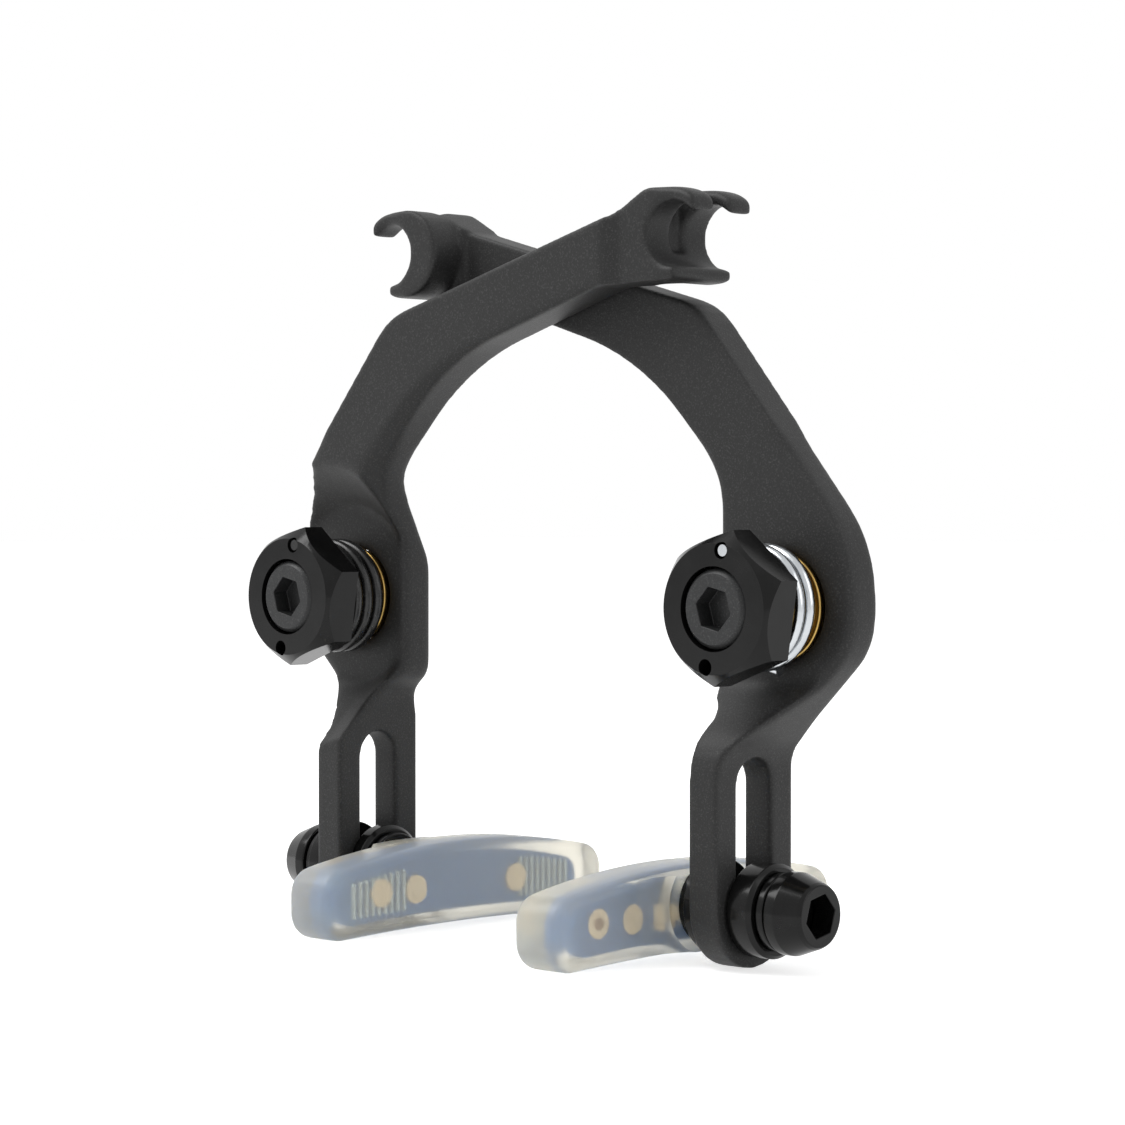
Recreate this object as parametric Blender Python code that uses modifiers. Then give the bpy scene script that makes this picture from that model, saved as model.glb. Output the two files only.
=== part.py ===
"""Rim brake caliper: two crossing arms on frame bosses, with springs, adjusters and pads.

Units are millimetres in the named sizes, turned into metres where meshes are made.
X runs to the right, Y away from the viewer and Z up. The origin lies midway between the two
pivot axes, on the plane of the frame's bosses, where the bushings end.
"""

import math

import bmesh
import bpy
from mathutils import Matrix, Vector

MM = 0.001

# Clearances between pieces
SEAT_GAP = 0.3
RUNNING_GAP = 0.3
ARM_PASS_GAP = 0.4

# Whole caliper
PIVOT_SPACING = 79.0
HOOK_SPREAD = 52.0
HOOK_RISE = 47.5
STUD_DROP = 38.2

# Arms
ARM_T = 5.5
BEAM_T = 6.8
BOSS_REACH = 11.5
BOSS_INNER = 10.3
BOSS_OUTER_LOW = -5.0
BOSS_OUTER_HIGH = 7.7
BEND_X = 25.2
BEND_Z = 38.7
ARCH_X = 17.9
ARCH_Z = 31.2
ARCH_FOOT_Z = 15.9
ARCH_R = 40.0
BACK_SLOPE_LOW = 5.0
BACK_SLOPE_HIGH = 17.0
BACK_SLOPE_R = 6.0
BOSS_LOW_R = 9.0
BOSS_HIGH_R = 18.0
BEND_R = 10.0
ARCH_FOOT_R = 10.0
BEAM_LAP = 0.5
COVE_R = 12.5
COVE_FLARE = 0.9

# Cable hooks
HOOK_R = 6.0
HOOK_BORE_R = 4.1
HOOK_DEPTH = 12.0
HOOK_UPPER_LIP = 4.0
HOOK_LOWER_LIP = 0.7
HOOK_MOUTH_RISE = 2.5
CABLE_SLIT = 2.4
NECK_TOP_RUN = 10.2
NECK_TOP_DIP = 3.25
NECK_BOTTOM_RUN = 11.8
NECK_FILLET_R = 0.8
NECK_STEP = 1.2
NECK_TOP_R = 4.0
NECK_RISE_RUN = 5.7
NECK_RISE_R = 3.0
NECK_BOTTOM_LEAD = 5.8
NECK_BOTTOM_LEAD_R = 5.0
NECK_BOTTOM_DROP = 0.3
NECK_BOTTOM_R = 6.0
NECK_TUCK = 0.05
NECK_LAP = 1.0
NECK_EDGE_R = 1.0
NECK_STEP_START = 0.8
NECK_STEP_END = 1.7
NECK_BACK_RUN = 1.5
HOOK_OFFSET = 3.0
HOOK_WALL_R = 0.8
SLIT_FLOOR = 1.2

# Pad legs of the arms
LEG_T = 4.6
LEG_INSET = 2.5
LEG_WIDTH = 15.0
LEG_FLARE_Z = -18.7
LEG_SHOULDER_Z = -9.7
LEG_FRONT_Z = -17.6
LEG_FRONT_R = 9.0
LEG_STEP_R = 3.0
LEG_FLARE_R = 5.0
LEG_SHOULDER_R = 3.0
SHOULDER_TOP_DROP = 1.3
SHOULDER_END_DROP = 3.8
SLOT_LENGTH = 22.4
SLOT_LOW = 0.3

# Pivot hardware
BOLT_D = 6.0
BOLT_HEAD_D = 10.0
BOLT_HEAD_T = 3.4
BOLT_SOCKET_AF = 5.0
BOLT_SOCKET_DEPTH = 2.5
BOLT_END_BACK = 1.0
BOLT_EDGE = 0.5
BUSHING_D = 12.6
BUSHING_BORE_D = 9.0
BUSHING_PROUD = 1.0
FLANGE_LIP = 0.8
FLANGE_T = 0.6
WIRE_D = 1.5
COIL_PITCH = 1.95
COIL_ROOM = 6.9
NUT_T = 5.2
NUT_RIM = 1.2
NUT_CHAMFER = 2.1
NUT_FACE_INSET = 0.4
NUT_CORNER_DEG = 9.0
BOLT_SOCKET_DEG = 43.0
LEG_HOLE_DEG = 80.0
LEG_BEND_R = 1.3
SPRING_TAIL = 3.4

# Pads and their hardware
STUD_D = 6.0
STUD_ROOT_D = 4.2
PAD_LENGTH = 54.0
PAD_END_HEIGHT = 9.4
PAD_TOP_RISE = 3.0
PAD_BOTTOM_RISE = 0.9
PAD_T = 8.0
PAD_SHIFT_Y = 3.3
PAD_SHIFT_Z = -1.1
PAD_END_R = 3.0
PAD_EDGE_R = 1.2
PAD_BOSS_T = 3.0
PAD_BOSS_R = 6.3
PAD_BOSS_FOOT_R = 10.0
PAD_BOSS_INSET = 0.5
CARRIER_WALL_END = 4.0
CARRIER_WALL = 1.7
CARRIER_T = 3.4
CARRIER_BACK = 1.6
CARRIER_FLOOR = 1.2
DOME_SPHERE_R = 8.0
DOME_R = 5.0
DOME_RIM_T = 1.0
CUP_R = 6.0
CUP_LIP = 0.5
INNER_STACK = 7.2
OUTER_CUP_T = 2.7
PAD_NUT_R = 5.25
PAD_NUT_NOSE_R = 4.2
PAD_NUT_LAND = 1.6
PAD_NUT_T = 5.1
PAD_SOCKET_AF = 5.0
PAD_SOCKET_DEPTH = 3.2
PAD_NUT_EDGE = 0.4

# Fineness of round shapes
TURN_STEPS = 32
ARC_STEP_DEG = 12.0
ARC_CHORD = 2.5
COIL_POINTS = 16
PAD_ARC_STEPS = 12
BEND_POINTS = 4
CUT_MARGIN = 10.0
TRIM_MARGIN = 1.0
ROUND_SLACK = 0.01
SPHERE_STEPS = 4

# Places that follow from the sizes
PIVOT_X = PIVOT_SPACING / 2
HOOK_X = HOOK_SPREAD / 2
SEAT_Y = -(ARM_T + BUSHING_PROUD)
ARM_BACK_Y = -BUSHING_PROUD
FRONT_BEAM_BACK_Y = SEAT_Y - ARM_PASS_GAP
FRONT_BEAM_Y = FRONT_BEAM_BACK_Y - BEAM_T
HOOK_FRONT_Y = FRONT_BEAM_Y + NECK_STEP
HOOK_BACK_Y = HOOK_FRONT_Y + HOOK_DEPTH
LEG_OUT_X = PIVOT_X - LEG_INSET
LEG_IN_X = LEG_OUT_X - LEG_T
LEG_FRONT_Y = ARM_BACK_Y - LEG_WIDTH
LEG_MID_Y = ARM_BACK_Y - LEG_WIDTH / 2
LEG_R = LEG_WIDTH / 2 - ROUND_SLACK
STUD_Z = -STUD_DROP
LEG_BOTTOM_Z = STUD_Z - LEG_WIDTH / 2
SLOT_W = STUD_D + 2 * RUNNING_GAP
COIL_R = BUSHING_D / 2 + RUNNING_GAP + WIRE_D / 2
FLANGE_FRONT_Y = SEAT_Y - SEAT_GAP - FLANGE_T
NUT_BACK_Y = FLANGE_FRONT_Y - COIL_ROOM
NUT_FACE_Y = NUT_BACK_Y - NUT_T
NUT_AF = 2 * (COIL_R + NUT_RIM)
LEG_HOLE_R = WIRE_D / 2 + RUNNING_GAP
PAD_BACK_X = LEG_IN_X - INNER_STACK
PAD_FACE_X = PAD_BACK_X - PAD_T
STUD_HOLE_R = STUD_D / 2 + RUNNING_GAP
PAD_MID_HEIGHT = PAD_END_HEIGHT + PAD_TOP_RISE - PAD_BOTTOM_RISE
CARRIER_BACK_X = PAD_BACK_X - CARRIER_BACK
CARRIER_FACE_X = CARRIER_BACK_X - CARRIER_T
STUD_START_X = CARRIER_FACE_X + CARRIER_FLOOR + SEAT_GAP
OUTER_CUP_X = LEG_OUT_X + SEAT_GAP
OUTER_DOME_X = OUTER_CUP_X + OUTER_CUP_T + SEAT_GAP
DOME_DROP = (math.sqrt(DOME_SPHERE_R ** 2 - STUD_HOLE_R ** 2)
             - math.sqrt(DOME_SPHERE_R ** 2 - DOME_R ** 2))
DOME_T = DOME_RIM_T + DOME_DROP
PAD_NUT_X = OUTER_DOME_X + DOME_T + SEAT_GAP
PAD_NUT_END_X = PAD_NUT_X + PAD_NUT_T
STUD_END_X = PAD_NUT_END_X - PAD_SOCKET_DEPTH - SEAT_GAP

SIDES = {"left": -1.0, "right": 1.0}
FINISHES = {
    "anodised_black": ((0.035, 0.035, 0.038, 1.0), 0.5, 0.6),
    "gloss_black": ((0.012, 0.012, 0.013, 1.0), 0.2, 0.6),
    "dark_phosphate": ((0.06, 0.062, 0.065, 1.0), 0.45, 0.8),
    "brass": ((0.62, 0.44, 0.16, 1.0), 0.3, 1.0),
    "bright_zinc": ((0.72, 0.73, 0.74, 1.0), 0.2, 1.0),
    "black_wire": ((0.03, 0.03, 0.032, 1.0), 0.3, 0.8),
    "clear_rubber": ((0.78, 0.77, 0.70, 1.0), 0.35, 0.0),
    "carrier_blue": ((0.28, 0.38, 0.46, 1.0), 0.5, 0.0),
}


def clear_scene():
    """Empties the scene that the script starts in."""
    for obj in list(bpy.data.objects):
        bpy.data.objects.remove(obj)


def new_collection(name):
    collection = bpy.data.collections.new(name)
    bpy.context.scene.collection.children.link(collection)
    return collection


def make_finish(name):
    """A plain Principled BSDF material from the table of finishes."""
    colour, roughness, metallic = FINISHES[name]
    finish = bpy.data.materials.new(name)
    finish.use_nodes = True
    shader = finish.node_tree.nodes["Principled BSDF"]
    shader.inputs["Base Color"].default_value = colour
    shader.inputs["Roughness"].default_value = roughness
    shader.inputs["Metallic"].default_value = metallic
    return finish


clear_scene()
CALIPER = new_collection("rim_brake_caliper")
CUTTERS = new_collection("cutters")
FINISH = {name: make_finish(name) for name in FINISHES}


# Outlines and solids

def rounded(corners):
    """Outline points from (u, v, radius) corners, each round corner drawn as an arc."""
    points = []
    count = len(corners)
    for index, (u, v, radius) in enumerate(corners):
        corner = Vector((u, v))
        before = (Vector(corners[index - 1][:2]) - corner).normalized()
        after = (Vector(corners[(index + 1) % count][:2]) - corner).normalized()
        half = before.angle(after) / 2
        if radius == 0 or half > math.radians(89.5):
            points.append(corner)
            continue
        centre = corner + (before + after).normalized() * (radius / math.sin(half))
        start = corner + before * (radius / math.tan(half)) - centre
        end = corner + after * (radius / math.tan(half)) - centre
        turn = start.angle_signed(end)
        by_angle = math.ceil(abs(math.degrees(turn)) / ARC_STEP_DEG)
        by_length = math.ceil(abs(turn) * radius / ARC_CHORD)
        steps = max(2, by_angle, by_length)
        for step in range(steps + 1):
            points.append(centre + Matrix.Rotation(-turn * step / steps, 2) @ start)
    return points


VIEW_TURNS = {
    "front": Matrix(((1, 0, 0), (0, 0, -1), (0, 1, 0))).to_4x4(),
    "side": Matrix(((0, 0, 1), (1, 0, 0), (0, 1, 0))).to_4x4(),
    "top": Matrix.Identity(4),
}


def slab(name, points, view, low, high):
    """An outline seen in one view, drawn as a flat curve and made solid from low to high."""
    curve = bpy.data.curves.new(name, "CURVE")
    curve.dimensions = "2D"
    curve.fill_mode = "BOTH"
    curve.extrude = (high - low) / 2 * MM
    spline = curve.splines.new("POLY")
    spline.points.add(len(points) - 1)
    for point, (u, v) in zip(spline.points, points):
        point.co = (u * MM, v * MM, 0.0, 1.0)
    spline.use_cyclic_u = True
    drawn = bpy.data.objects.new(name + "_outline", curve)
    CUTTERS.objects.link(drawn)
    graph = bpy.context.evaluated_depsgraph_get()
    mesh = bpy.data.meshes.new_from_object(drawn.evaluated_get(graph))
    bpy.data.objects.remove(drawn)
    middle = (low + high) / 2 * MM
    if view == "front":
        middle = -middle
    mesh.transform(VIEW_TURNS[view] @ Matrix.Translation((0, 0, middle)))
    return from_mesh(name, mesh)


def from_mesh(name, mesh):
    """A helper object from a mesh, welded and with its faces pointing out."""
    shape = bmesh.new()
    shape.from_mesh(mesh)
    bmesh.ops.remove_doubles(shape, verts=shape.verts, dist=1e-6)
    bmesh.ops.recalc_face_normals(shape, faces=shape.faces)
    shape.to_mesh(mesh)
    shape.free()
    obj = bpy.data.objects.new(name, mesh)
    CUTTERS.objects.link(obj)
    obj.hide_render = True
    obj.display_type = "WIRE"
    return obj


def axis_turn(axis):
    """The turn that takes +Z onto the given direction."""
    return Vector((0, 0, 1)).rotation_difference(Vector(axis)).to_matrix().to_4x4()


def rod(name, centre, axis, low, high, radius, end_radius=None, sides=TURN_STEPS, turn_deg=0.0):
    """A cylinder, cone or prism along an axis, from low to high on it, past a centre point."""
    shape = bmesh.new()
    bmesh.ops.create_cone(
        shape,
        cap_ends=True,
        segments=sides,
        radius1=radius * MM,
        radius2=(radius if end_radius is None else end_radius) * MM,
        depth=(high - low) * MM,
    )
    lift = Matrix.Translation((0, 0, (low + high) / 2 * MM))
    spin = Matrix.Rotation(math.radians(turn_deg), 4, "Z")
    place = Matrix.Translation(Vector(centre) * MM) @ axis_turn(axis)
    bmesh.ops.transform(shape, matrix=place @ lift @ spin, verts=shape.verts)
    mesh = bpy.data.meshes.new(name)
    shape.to_mesh(mesh)
    shape.free()
    return from_mesh(name, mesh)


def turned(name, centre, axis, profile):
    """A turned piece: (radius, height) points, run down the outer side, spun about an axis."""
    mesh = bpy.data.meshes.new(name)
    points = [(radius * MM, 0.0, height * MM) for radius, height in profile]
    on_axis = profile[0][0] == 0
    edges = [(step, step + 1) for step in range(len(points) - 1)]
    if not on_axis:
        edges.append((len(points) - 1, 0))
    mesh.from_pydata(points, edges, [])
    obj = bpy.data.objects.new(name, mesh)
    CUTTERS.objects.link(obj)
    obj.matrix_world = Matrix.Translation(Vector(centre) * MM) @ axis_turn(axis)
    screw = obj.modifiers.new("turn", "SCREW")
    screw.axis = "Z"
    screw.angle = math.tau
    screw.steps = TURN_STEPS
    screw.render_steps = TURN_STEPS
    screw.use_merge_vertices = True
    screw.merge_threshold = 1e-6
    graph = bpy.context.evaluated_depsgraph_get()
    spun = bpy.data.meshes.new_from_object(obj.evaluated_get(graph))
    spun.transform(obj.matrix_world)
    bpy.data.objects.remove(obj)
    return from_mesh(name, spun)


def combine(obj, other, operation):
    """Adds a Boolean with another solid and gives the first one back."""
    step = obj.modifiers.new(operation.lower() + "_" + other.name, "BOOLEAN")
    step.operation = operation
    step.object = other
    step.solver = "EXACT"
    return obj


def finish_piece(obj, name, finish, joint):
    """Moves a solid from the helpers to the caliper, on its joint's empty, with its finish."""
    CUTTERS.objects.unlink(obj)
    CALIPER.objects.link(obj)
    obj.name = name
    obj.hide_render = False
    obj.display_type = "TEXTURED"
    obj.data.materials.clear()
    obj.data.materials.append(FINISH[finish])
    if obj.type == "MESH":
        obj.data.shade_smooth()
        obj.data.set_sharp_from_angle(angle=math.radians(30))
    obj.parent = joint
    obj.matrix_parent_inverse = Matrix.Translation(joint.location).inverted()
    return obj


def joint_empty(name, x, y, z):
    """An empty on a joint's axis."""
    empty = bpy.data.objects.new(name, None)
    empty.location = Vector((x, y, z)) * MM
    CALIPER.objects.link(empty)
    return empty


# Brake arms

def arm_face_outline(side):
    """The arm seen from the front: leg, pivot boss, slanted run, beam, neck and hook."""
    boss_out = PIVOT_X + BOSS_REACH
    boss_in = PIVOT_X - BOSS_INNER
    hook_top = HOOK_RISE + HOOK_R
    hook_low = HOOK_RISE - HOOK_R
    neck_top_x = NECK_TOP_RUN - HOOK_X
    neck_low_x = NECK_BOTTOM_RUN - HOOK_X
    corners = [
        (LEG_OUT_X, LEG_BOTTOM_Z - CUT_MARGIN, 0),
        (LEG_OUT_X, LEG_FLARE_Z, LEG_FLARE_R),
        (boss_out, BOSS_OUTER_LOW, BOSS_LOW_R),
        (boss_out, BOSS_OUTER_HIGH, BOSS_HIGH_R),
        (BEND_X, BEND_Z, BEND_R),
        (neck_top_x, hook_top - NECK_TOP_DIP, NECK_TOP_R),
        (neck_top_x - NECK_RISE_RUN, hook_top, NECK_RISE_R),
        (-HOOK_X - HOOK_R, hook_top, HOOK_R - ROUND_SLACK),
        (-HOOK_X - HOOK_R, hook_low, HOOK_R - ROUND_SLACK),
        (neck_low_x - NECK_BOTTOM_LEAD, hook_low, NECK_BOTTOM_LEAD_R),
        (neck_low_x, hook_low - NECK_BOTTOM_DROP, NECK_BOTTOM_R),
        (ARCH_X, ARCH_Z, ARCH_R),
        (boss_in, ARCH_FOOT_Z, ARCH_FOOT_R),
        (boss_in, LEG_SHOULDER_Z - SHOULDER_TOP_DROP, LEG_SHOULDER_R),
        (LEG_IN_X, LEG_SHOULDER_Z - SHOULDER_END_DROP, LEG_SHOULDER_R),
        (LEG_IN_X, LEG_BOTTOM_Z - CUT_MARGIN, 0),
    ]
    return rounded([(side * x, z, radius) for x, z, radius in corners])


def arm_side_outline(crossing_front):
    """The arm seen from its side: upper plate, then the leg, which steps forward below the boss."""
    leg = [
        (SEAT_Y, LEG_SHOULDER_Z, LEG_STEP_R),
        (LEG_FRONT_Y, LEG_FRONT_Z, LEG_FRONT_R),
        (LEG_FRONT_Y, LEG_BOTTOM_Z, LEG_R),
        (ARM_BACK_Y, LEG_BOTTOM_Z, LEG_R),
    ]
    top = HOOK_RISE + HOOK_R + CUT_MARGIN
    if not crossing_front:
        return rounded([(SEAT_Y, top, 0)] + leg + [(ARM_BACK_Y, top, 0)])
    above = [
        (ARM_BACK_Y, BACK_SLOPE_LOW, BACK_SLOPE_R),
        (FRONT_BEAM_BACK_Y, BACK_SLOPE_HIGH, BACK_SLOPE_R),
        (FRONT_BEAM_BACK_Y, top, 0),
        (FRONT_BEAM_Y, top, 0),
        (FRONT_BEAM_Y, BACK_SLOPE_LOW, 0),
        (SEAT_Y, BACK_SLOPE_LOW, 0),
    ]
    return rounded(leg + above)


def neck_top_outline(side, crossing_front):
    """The neck and hook seen from above, drawn in a little where they run into the beam."""
    root_x = NECK_LAP + NECK_BOTTOM_RUN - HOOK_X
    wall_x = HOOK_OFFSET + HOOK_R - HOOK_X
    end_x = -HOOK_X - HOOK_R - TRIM_MARGIN
    if crossing_front:
        corners = [
            (root_x, FRONT_BEAM_Y + NECK_TUCK, 0),
            (NECK_TOP_RUN + NECK_STEP_START - HOOK_X, FRONT_BEAM_Y + NECK_TUCK, NECK_EDGE_R),
            (NECK_TOP_RUN - NECK_STEP_END - HOOK_X, HOOK_FRONT_Y, NECK_EDGE_R),
            (end_x, HOOK_FRONT_Y, 0),
            (end_x, HOOK_BACK_Y, 0),
            (wall_x, HOOK_BACK_Y, HOOK_WALL_R),
            (wall_x, FRONT_BEAM_BACK_Y - NECK_TUCK, NECK_FILLET_R),
            (root_x, FRONT_BEAM_BACK_Y - NECK_TUCK, 0),
        ]
    else:
        corners = [
            (root_x, SEAT_Y + NECK_TUCK, 0),
            (wall_x, SEAT_Y + NECK_TUCK, NECK_FILLET_R),
            (wall_x, HOOK_FRONT_Y, HOOK_WALL_R),
            (end_x, HOOK_FRONT_Y, 0),
            (end_x, HOOK_BACK_Y, 0),
            (wall_x, HOOK_BACK_Y, 0),
            (wall_x + NECK_BACK_RUN, ARM_BACK_Y - NECK_TUCK, 0),
            (root_x, ARM_BACK_Y - NECK_TUCK, 0),
        ]
    return rounded([(side * x, y, radius) for x, y, radius in corners])


def hook_cutters(name, side):
    """Seat bore, mouth and cable slit of one hook, on the far side of the caliper's middle."""
    out = -side
    centre = (out * HOOK_X, 0, HOOK_RISE)
    front = HOOK_FRONT_Y - CUT_MARGIN
    back = HOOK_BACK_Y + CUT_MARGIN
    bore = rod(name + "_hook_bore", centre, (0, 1, 0), front, back, HOOK_BORE_R)
    reach = 2 * HOOK_R
    lower_x = HOOK_X + HOOK_LOWER_LIP
    upper_x = HOOK_X + HOOK_UPPER_LIP
    mouth_corners = [
        (lower_x, HOOK_RISE - reach, 0),
        (HOOK_X + reach, HOOK_RISE - reach, 0),
        (HOOK_X + reach, HOOK_RISE + reach, 0),
        (upper_x, HOOK_RISE + reach, 0),
        (upper_x, HOOK_RISE + HOOK_MOUTH_RISE, 0),
        (lower_x, HOOK_RISE + HOOK_MOUTH_RISE, 0),
    ]
    opened = rounded([(out * x, z, radius) for x, z, radius in mouth_corners])
    mouth = slab(name + "_hook_mouth", opened, "front", front, back)
    slit_mid = (HOOK_FRONT_Y + HOOK_BACK_Y) / 2
    slit_in = HOOK_X - HOOK_R + SLIT_FLOOR
    slit_corners = [
        (out * slit_in, HOOK_RISE - HOOK_BORE_R / 2, 0),
        (out * (HOOK_X + reach), HOOK_RISE - HOOK_BORE_R / 2, 0),
        (out * (HOOK_X + reach), HOOK_RISE + reach, 0),
        (out * slit_in, HOOK_RISE + reach, 0),
    ]
    slit = slab(
        name + "_cable_slit",
        rounded(slit_corners),
        "front",
        slit_mid - CABLE_SLIT / 2,
        slit_mid + CABLE_SLIT / 2,
    )
    return [bore, mouth, slit]


def hook_rounder(name, side, crossing_front):
    """Trims the part of the hook that stands off the neck to a round end."""
    out = -side
    body_x = HOOK_X - HOOK_OFFSET
    reach = 2 * HOOK_R
    if crossing_front:
        low = FRONT_BEAM_BACK_Y + NECK_FILLET_R
        high = HOOK_BACK_Y + CUT_MARGIN
    else:
        low = HOOK_FRONT_Y - CUT_MARGIN
        high = SEAT_Y - NECK_FILLET_R
    corners = [
        (out * body_x, HOOK_RISE - reach, 0),
        (out * body_x, HOOK_RISE + reach, 0),
        (out * (body_x - reach), HOOK_RISE + reach, 0),
        (out * (body_x - reach), HOOK_RISE - reach, 0),
    ]
    trim = slab(name + "_hook_trim", rounded(corners), "front", low, high)
    centre = (out * body_x, 0, HOOK_RISE)
    kept = rod(name + "_hook_body", centre, (0, 1, 0), low - CUT_MARGIN, high + CUT_MARGIN, HOOK_R)
    return combine(trim, kept, "DIFFERENCE")


def leg_slot(name, side):
    """The long slot in which the pad's stud slides."""
    low = STUD_Z - STUD_D / 2 - SLOT_LOW
    high = low + SLOT_LENGTH
    radius = SLOT_W / 2 - ROUND_SLACK
    corners = [
        (LEG_MID_Y - SLOT_W / 2, low, radius),
        (LEG_MID_Y + SLOT_W / 2, low, radius),
        (LEG_MID_Y + SLOT_W / 2, high, radius),
        (LEG_MID_Y - SLOT_W / 2, high, radius),
    ]
    ends = sorted((side * (LEG_IN_X - CUT_MARGIN), side * (LEG_OUT_X + CUT_MARGIN)))
    return slab(name + "_slot", rounded(corners), "side", *ends)


def brake_arm(name, side, crossing_front, joint):
    """One forged arm. The arm that crosses in front has a cove round its spring and nut."""
    front = FRONT_BEAM_Y - CUT_MARGIN
    back = HOOK_BACK_Y + CUT_MARGIN
    face = slab(name + "_face", arm_face_outline(side), "front", front, back)
    beam_end = NECK_BOTTOM_RUN - BEAM_LAP - HOOK_X
    ends = sorted((side * beam_end, side * (PIVOT_X + BOSS_REACH + CUT_MARGIN)))
    arm = slab(name, arm_side_outline(crossing_front), "side", *ends)
    neck = slab(
        name + "_neck",
        neck_top_outline(side, crossing_front),
        "top",
        HOOK_RISE - HOOK_R - CUT_MARGIN,
        HOOK_RISE + HOOK_R + CUT_MARGIN,
    )
    combine(arm, neck, "UNION")
    combine(arm, face, "INTERSECT")
    pivot = (side * PIVOT_X, SEAT_Y, 0)
    if crossing_front:
        depth = SEAT_Y - front
        cove = rod(
            name + "_cove", pivot, (0, -1, 0), 0, depth, COVE_R, COVE_R + COVE_FLARE * depth
        )
        combine(arm, cove, "DIFFERENCE")
    bore_r = BUSHING_D / 2 + RUNNING_GAP
    combine(arm, rod(name + "_bore", pivot, (0, 1, 0), -CUT_MARGIN, CUT_MARGIN, bore_r), "DIFFERENCE")
    rounder = hook_rounder(name, side, crossing_front)
    for cutter in [rounder] + hook_cutters(name, side) + [leg_slot(name, side)]:
        combine(arm, cutter, "DIFFERENCE")
    return finish_piece(arm, name, "anodised_black", joint)


# Pivot hardware

def pivot_bushing(name, side, joint):
    """Brass sleeve with a flange on the arm's front seat, open for the frame's boss."""
    radius = BUSHING_D / 2
    bore = BUSHING_BORE_D / 2
    front = -(NUT_BACK_Y + SEAT_GAP)
    flange_front = -FLANGE_FRONT_Y
    flange_back = flange_front - FLANGE_T
    profile = [
        (bore, front),
        (radius, front),
        (radius, flange_front),
        (radius + FLANGE_LIP, flange_front),
        (radius + FLANGE_LIP, flange_back),
        (radius, flange_back),
        (radius, 0.0),
        (bore, 0.0),
    ]
    bushing = turned(name, (side * PIVOT_X, 0, 0), (0, -1, 0), profile)
    return finish_piece(bushing, name, "brass", joint)


def hex_radius(across_flats):
    return across_flats / 2 / math.cos(math.radians(30))


def adjuster_nut(name, side, joint):
    """Hexagon nut with a turned chamfer, a seat for the bolt head and two spring leg holes."""
    pivot = (side * PIVOT_X, 0, 0)
    corner = hex_radius(NUT_AF)
    nut = rod(
        name, pivot, (0, 1, 0), NUT_FACE_Y, NUT_BACK_Y, corner, sides=6, turn_deg=NUT_CORNER_DEG
    )
    edge_r = corner + TRIM_MARGIN
    face_r = NUT_AF / 2 - NUT_FACE_INSET
    slope = NUT_CHAMFER / (corner - face_r)
    profile = [
        (0, -NUT_FACE_Y),
        (face_r, -NUT_FACE_Y),
        (edge_r, -NUT_FACE_Y - slope * (edge_r - face_r)),
        (edge_r, -NUT_BACK_Y - TRIM_MARGIN),
        (0, -NUT_BACK_Y - TRIM_MARGIN),
    ]
    combine(nut, turned(name + "_chamfer", pivot, (0, -1, 0), profile), "INTERSECT")
    head_floor = NUT_FACE_Y + BOLT_HEAD_T + SEAT_GAP
    head_r = BOLT_HEAD_D / 2 + RUNNING_GAP
    seat = rod(name + "_head_seat", pivot, (0, 1, 0), NUT_FACE_Y - CUT_MARGIN, head_floor, head_r)
    shank_r = BOLT_D / 2 + RUNNING_GAP
    shank = rod(name + "_shank_hole", pivot, (0, 1, 0), NUT_FACE_Y, NUT_BACK_Y + CUT_MARGIN, shank_r)
    combine(nut, seat, "DIFFERENCE")
    combine(nut, shank, "DIFFERENCE")
    for turn in (0, 180):
        x, z = coil_place(side, math.radians(LEG_HOLE_DEG + turn))
        hole = rod(
            name + "_leg_hole",
            (x, 0, z),
            (0, 1, 0),
            NUT_FACE_Y - CUT_MARGIN,
            NUT_BACK_Y + CUT_MARGIN,
            LEG_HOLE_R,
            sides=TURN_STEPS // 2,
        )
        combine(nut, hole, "DIFFERENCE")
    return finish_piece(nut, name, "gloss_black", joint)


def mounting_bolt(name, side, joint):
    """Bolt with a flat round head, flush with the nut's face, and a hexagon socket."""
    pivot = (side * PIVOT_X, 0, 0)
    face = -NUT_FACE_Y
    head_r = BOLT_HEAD_D / 2
    profile = [
        (0, face),
        (head_r - BOLT_EDGE, face),
        (head_r, face - BOLT_EDGE),
        (head_r, face - BOLT_HEAD_T),
        (BOLT_D / 2, face - BOLT_HEAD_T),
        (BOLT_D / 2, BOLT_END_BACK),
        (0, BOLT_END_BACK),
    ]
    bolt = turned(name, pivot, (0, -1, 0), profile)
    socket = rod(
        name + "_socket",
        pivot,
        (0, 1, 0),
        NUT_FACE_Y - CUT_MARGIN,
        NUT_FACE_Y + BOLT_SOCKET_DEPTH,
        hex_radius(BOLT_SOCKET_AF),
        sides=6,
        turn_deg=BOLT_SOCKET_DEG,
    )
    combine(bolt, socket, "DIFFERENCE")
    return finish_piece(bolt, name, "dark_phosphate", joint)


def coil_place(side, angle):
    """X and Z of a point on the coil's mean circle, by its angle from +X towards +Z."""
    return side * PIVOT_X + COIL_R * math.cos(angle), COIL_R * math.sin(angle)


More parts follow.
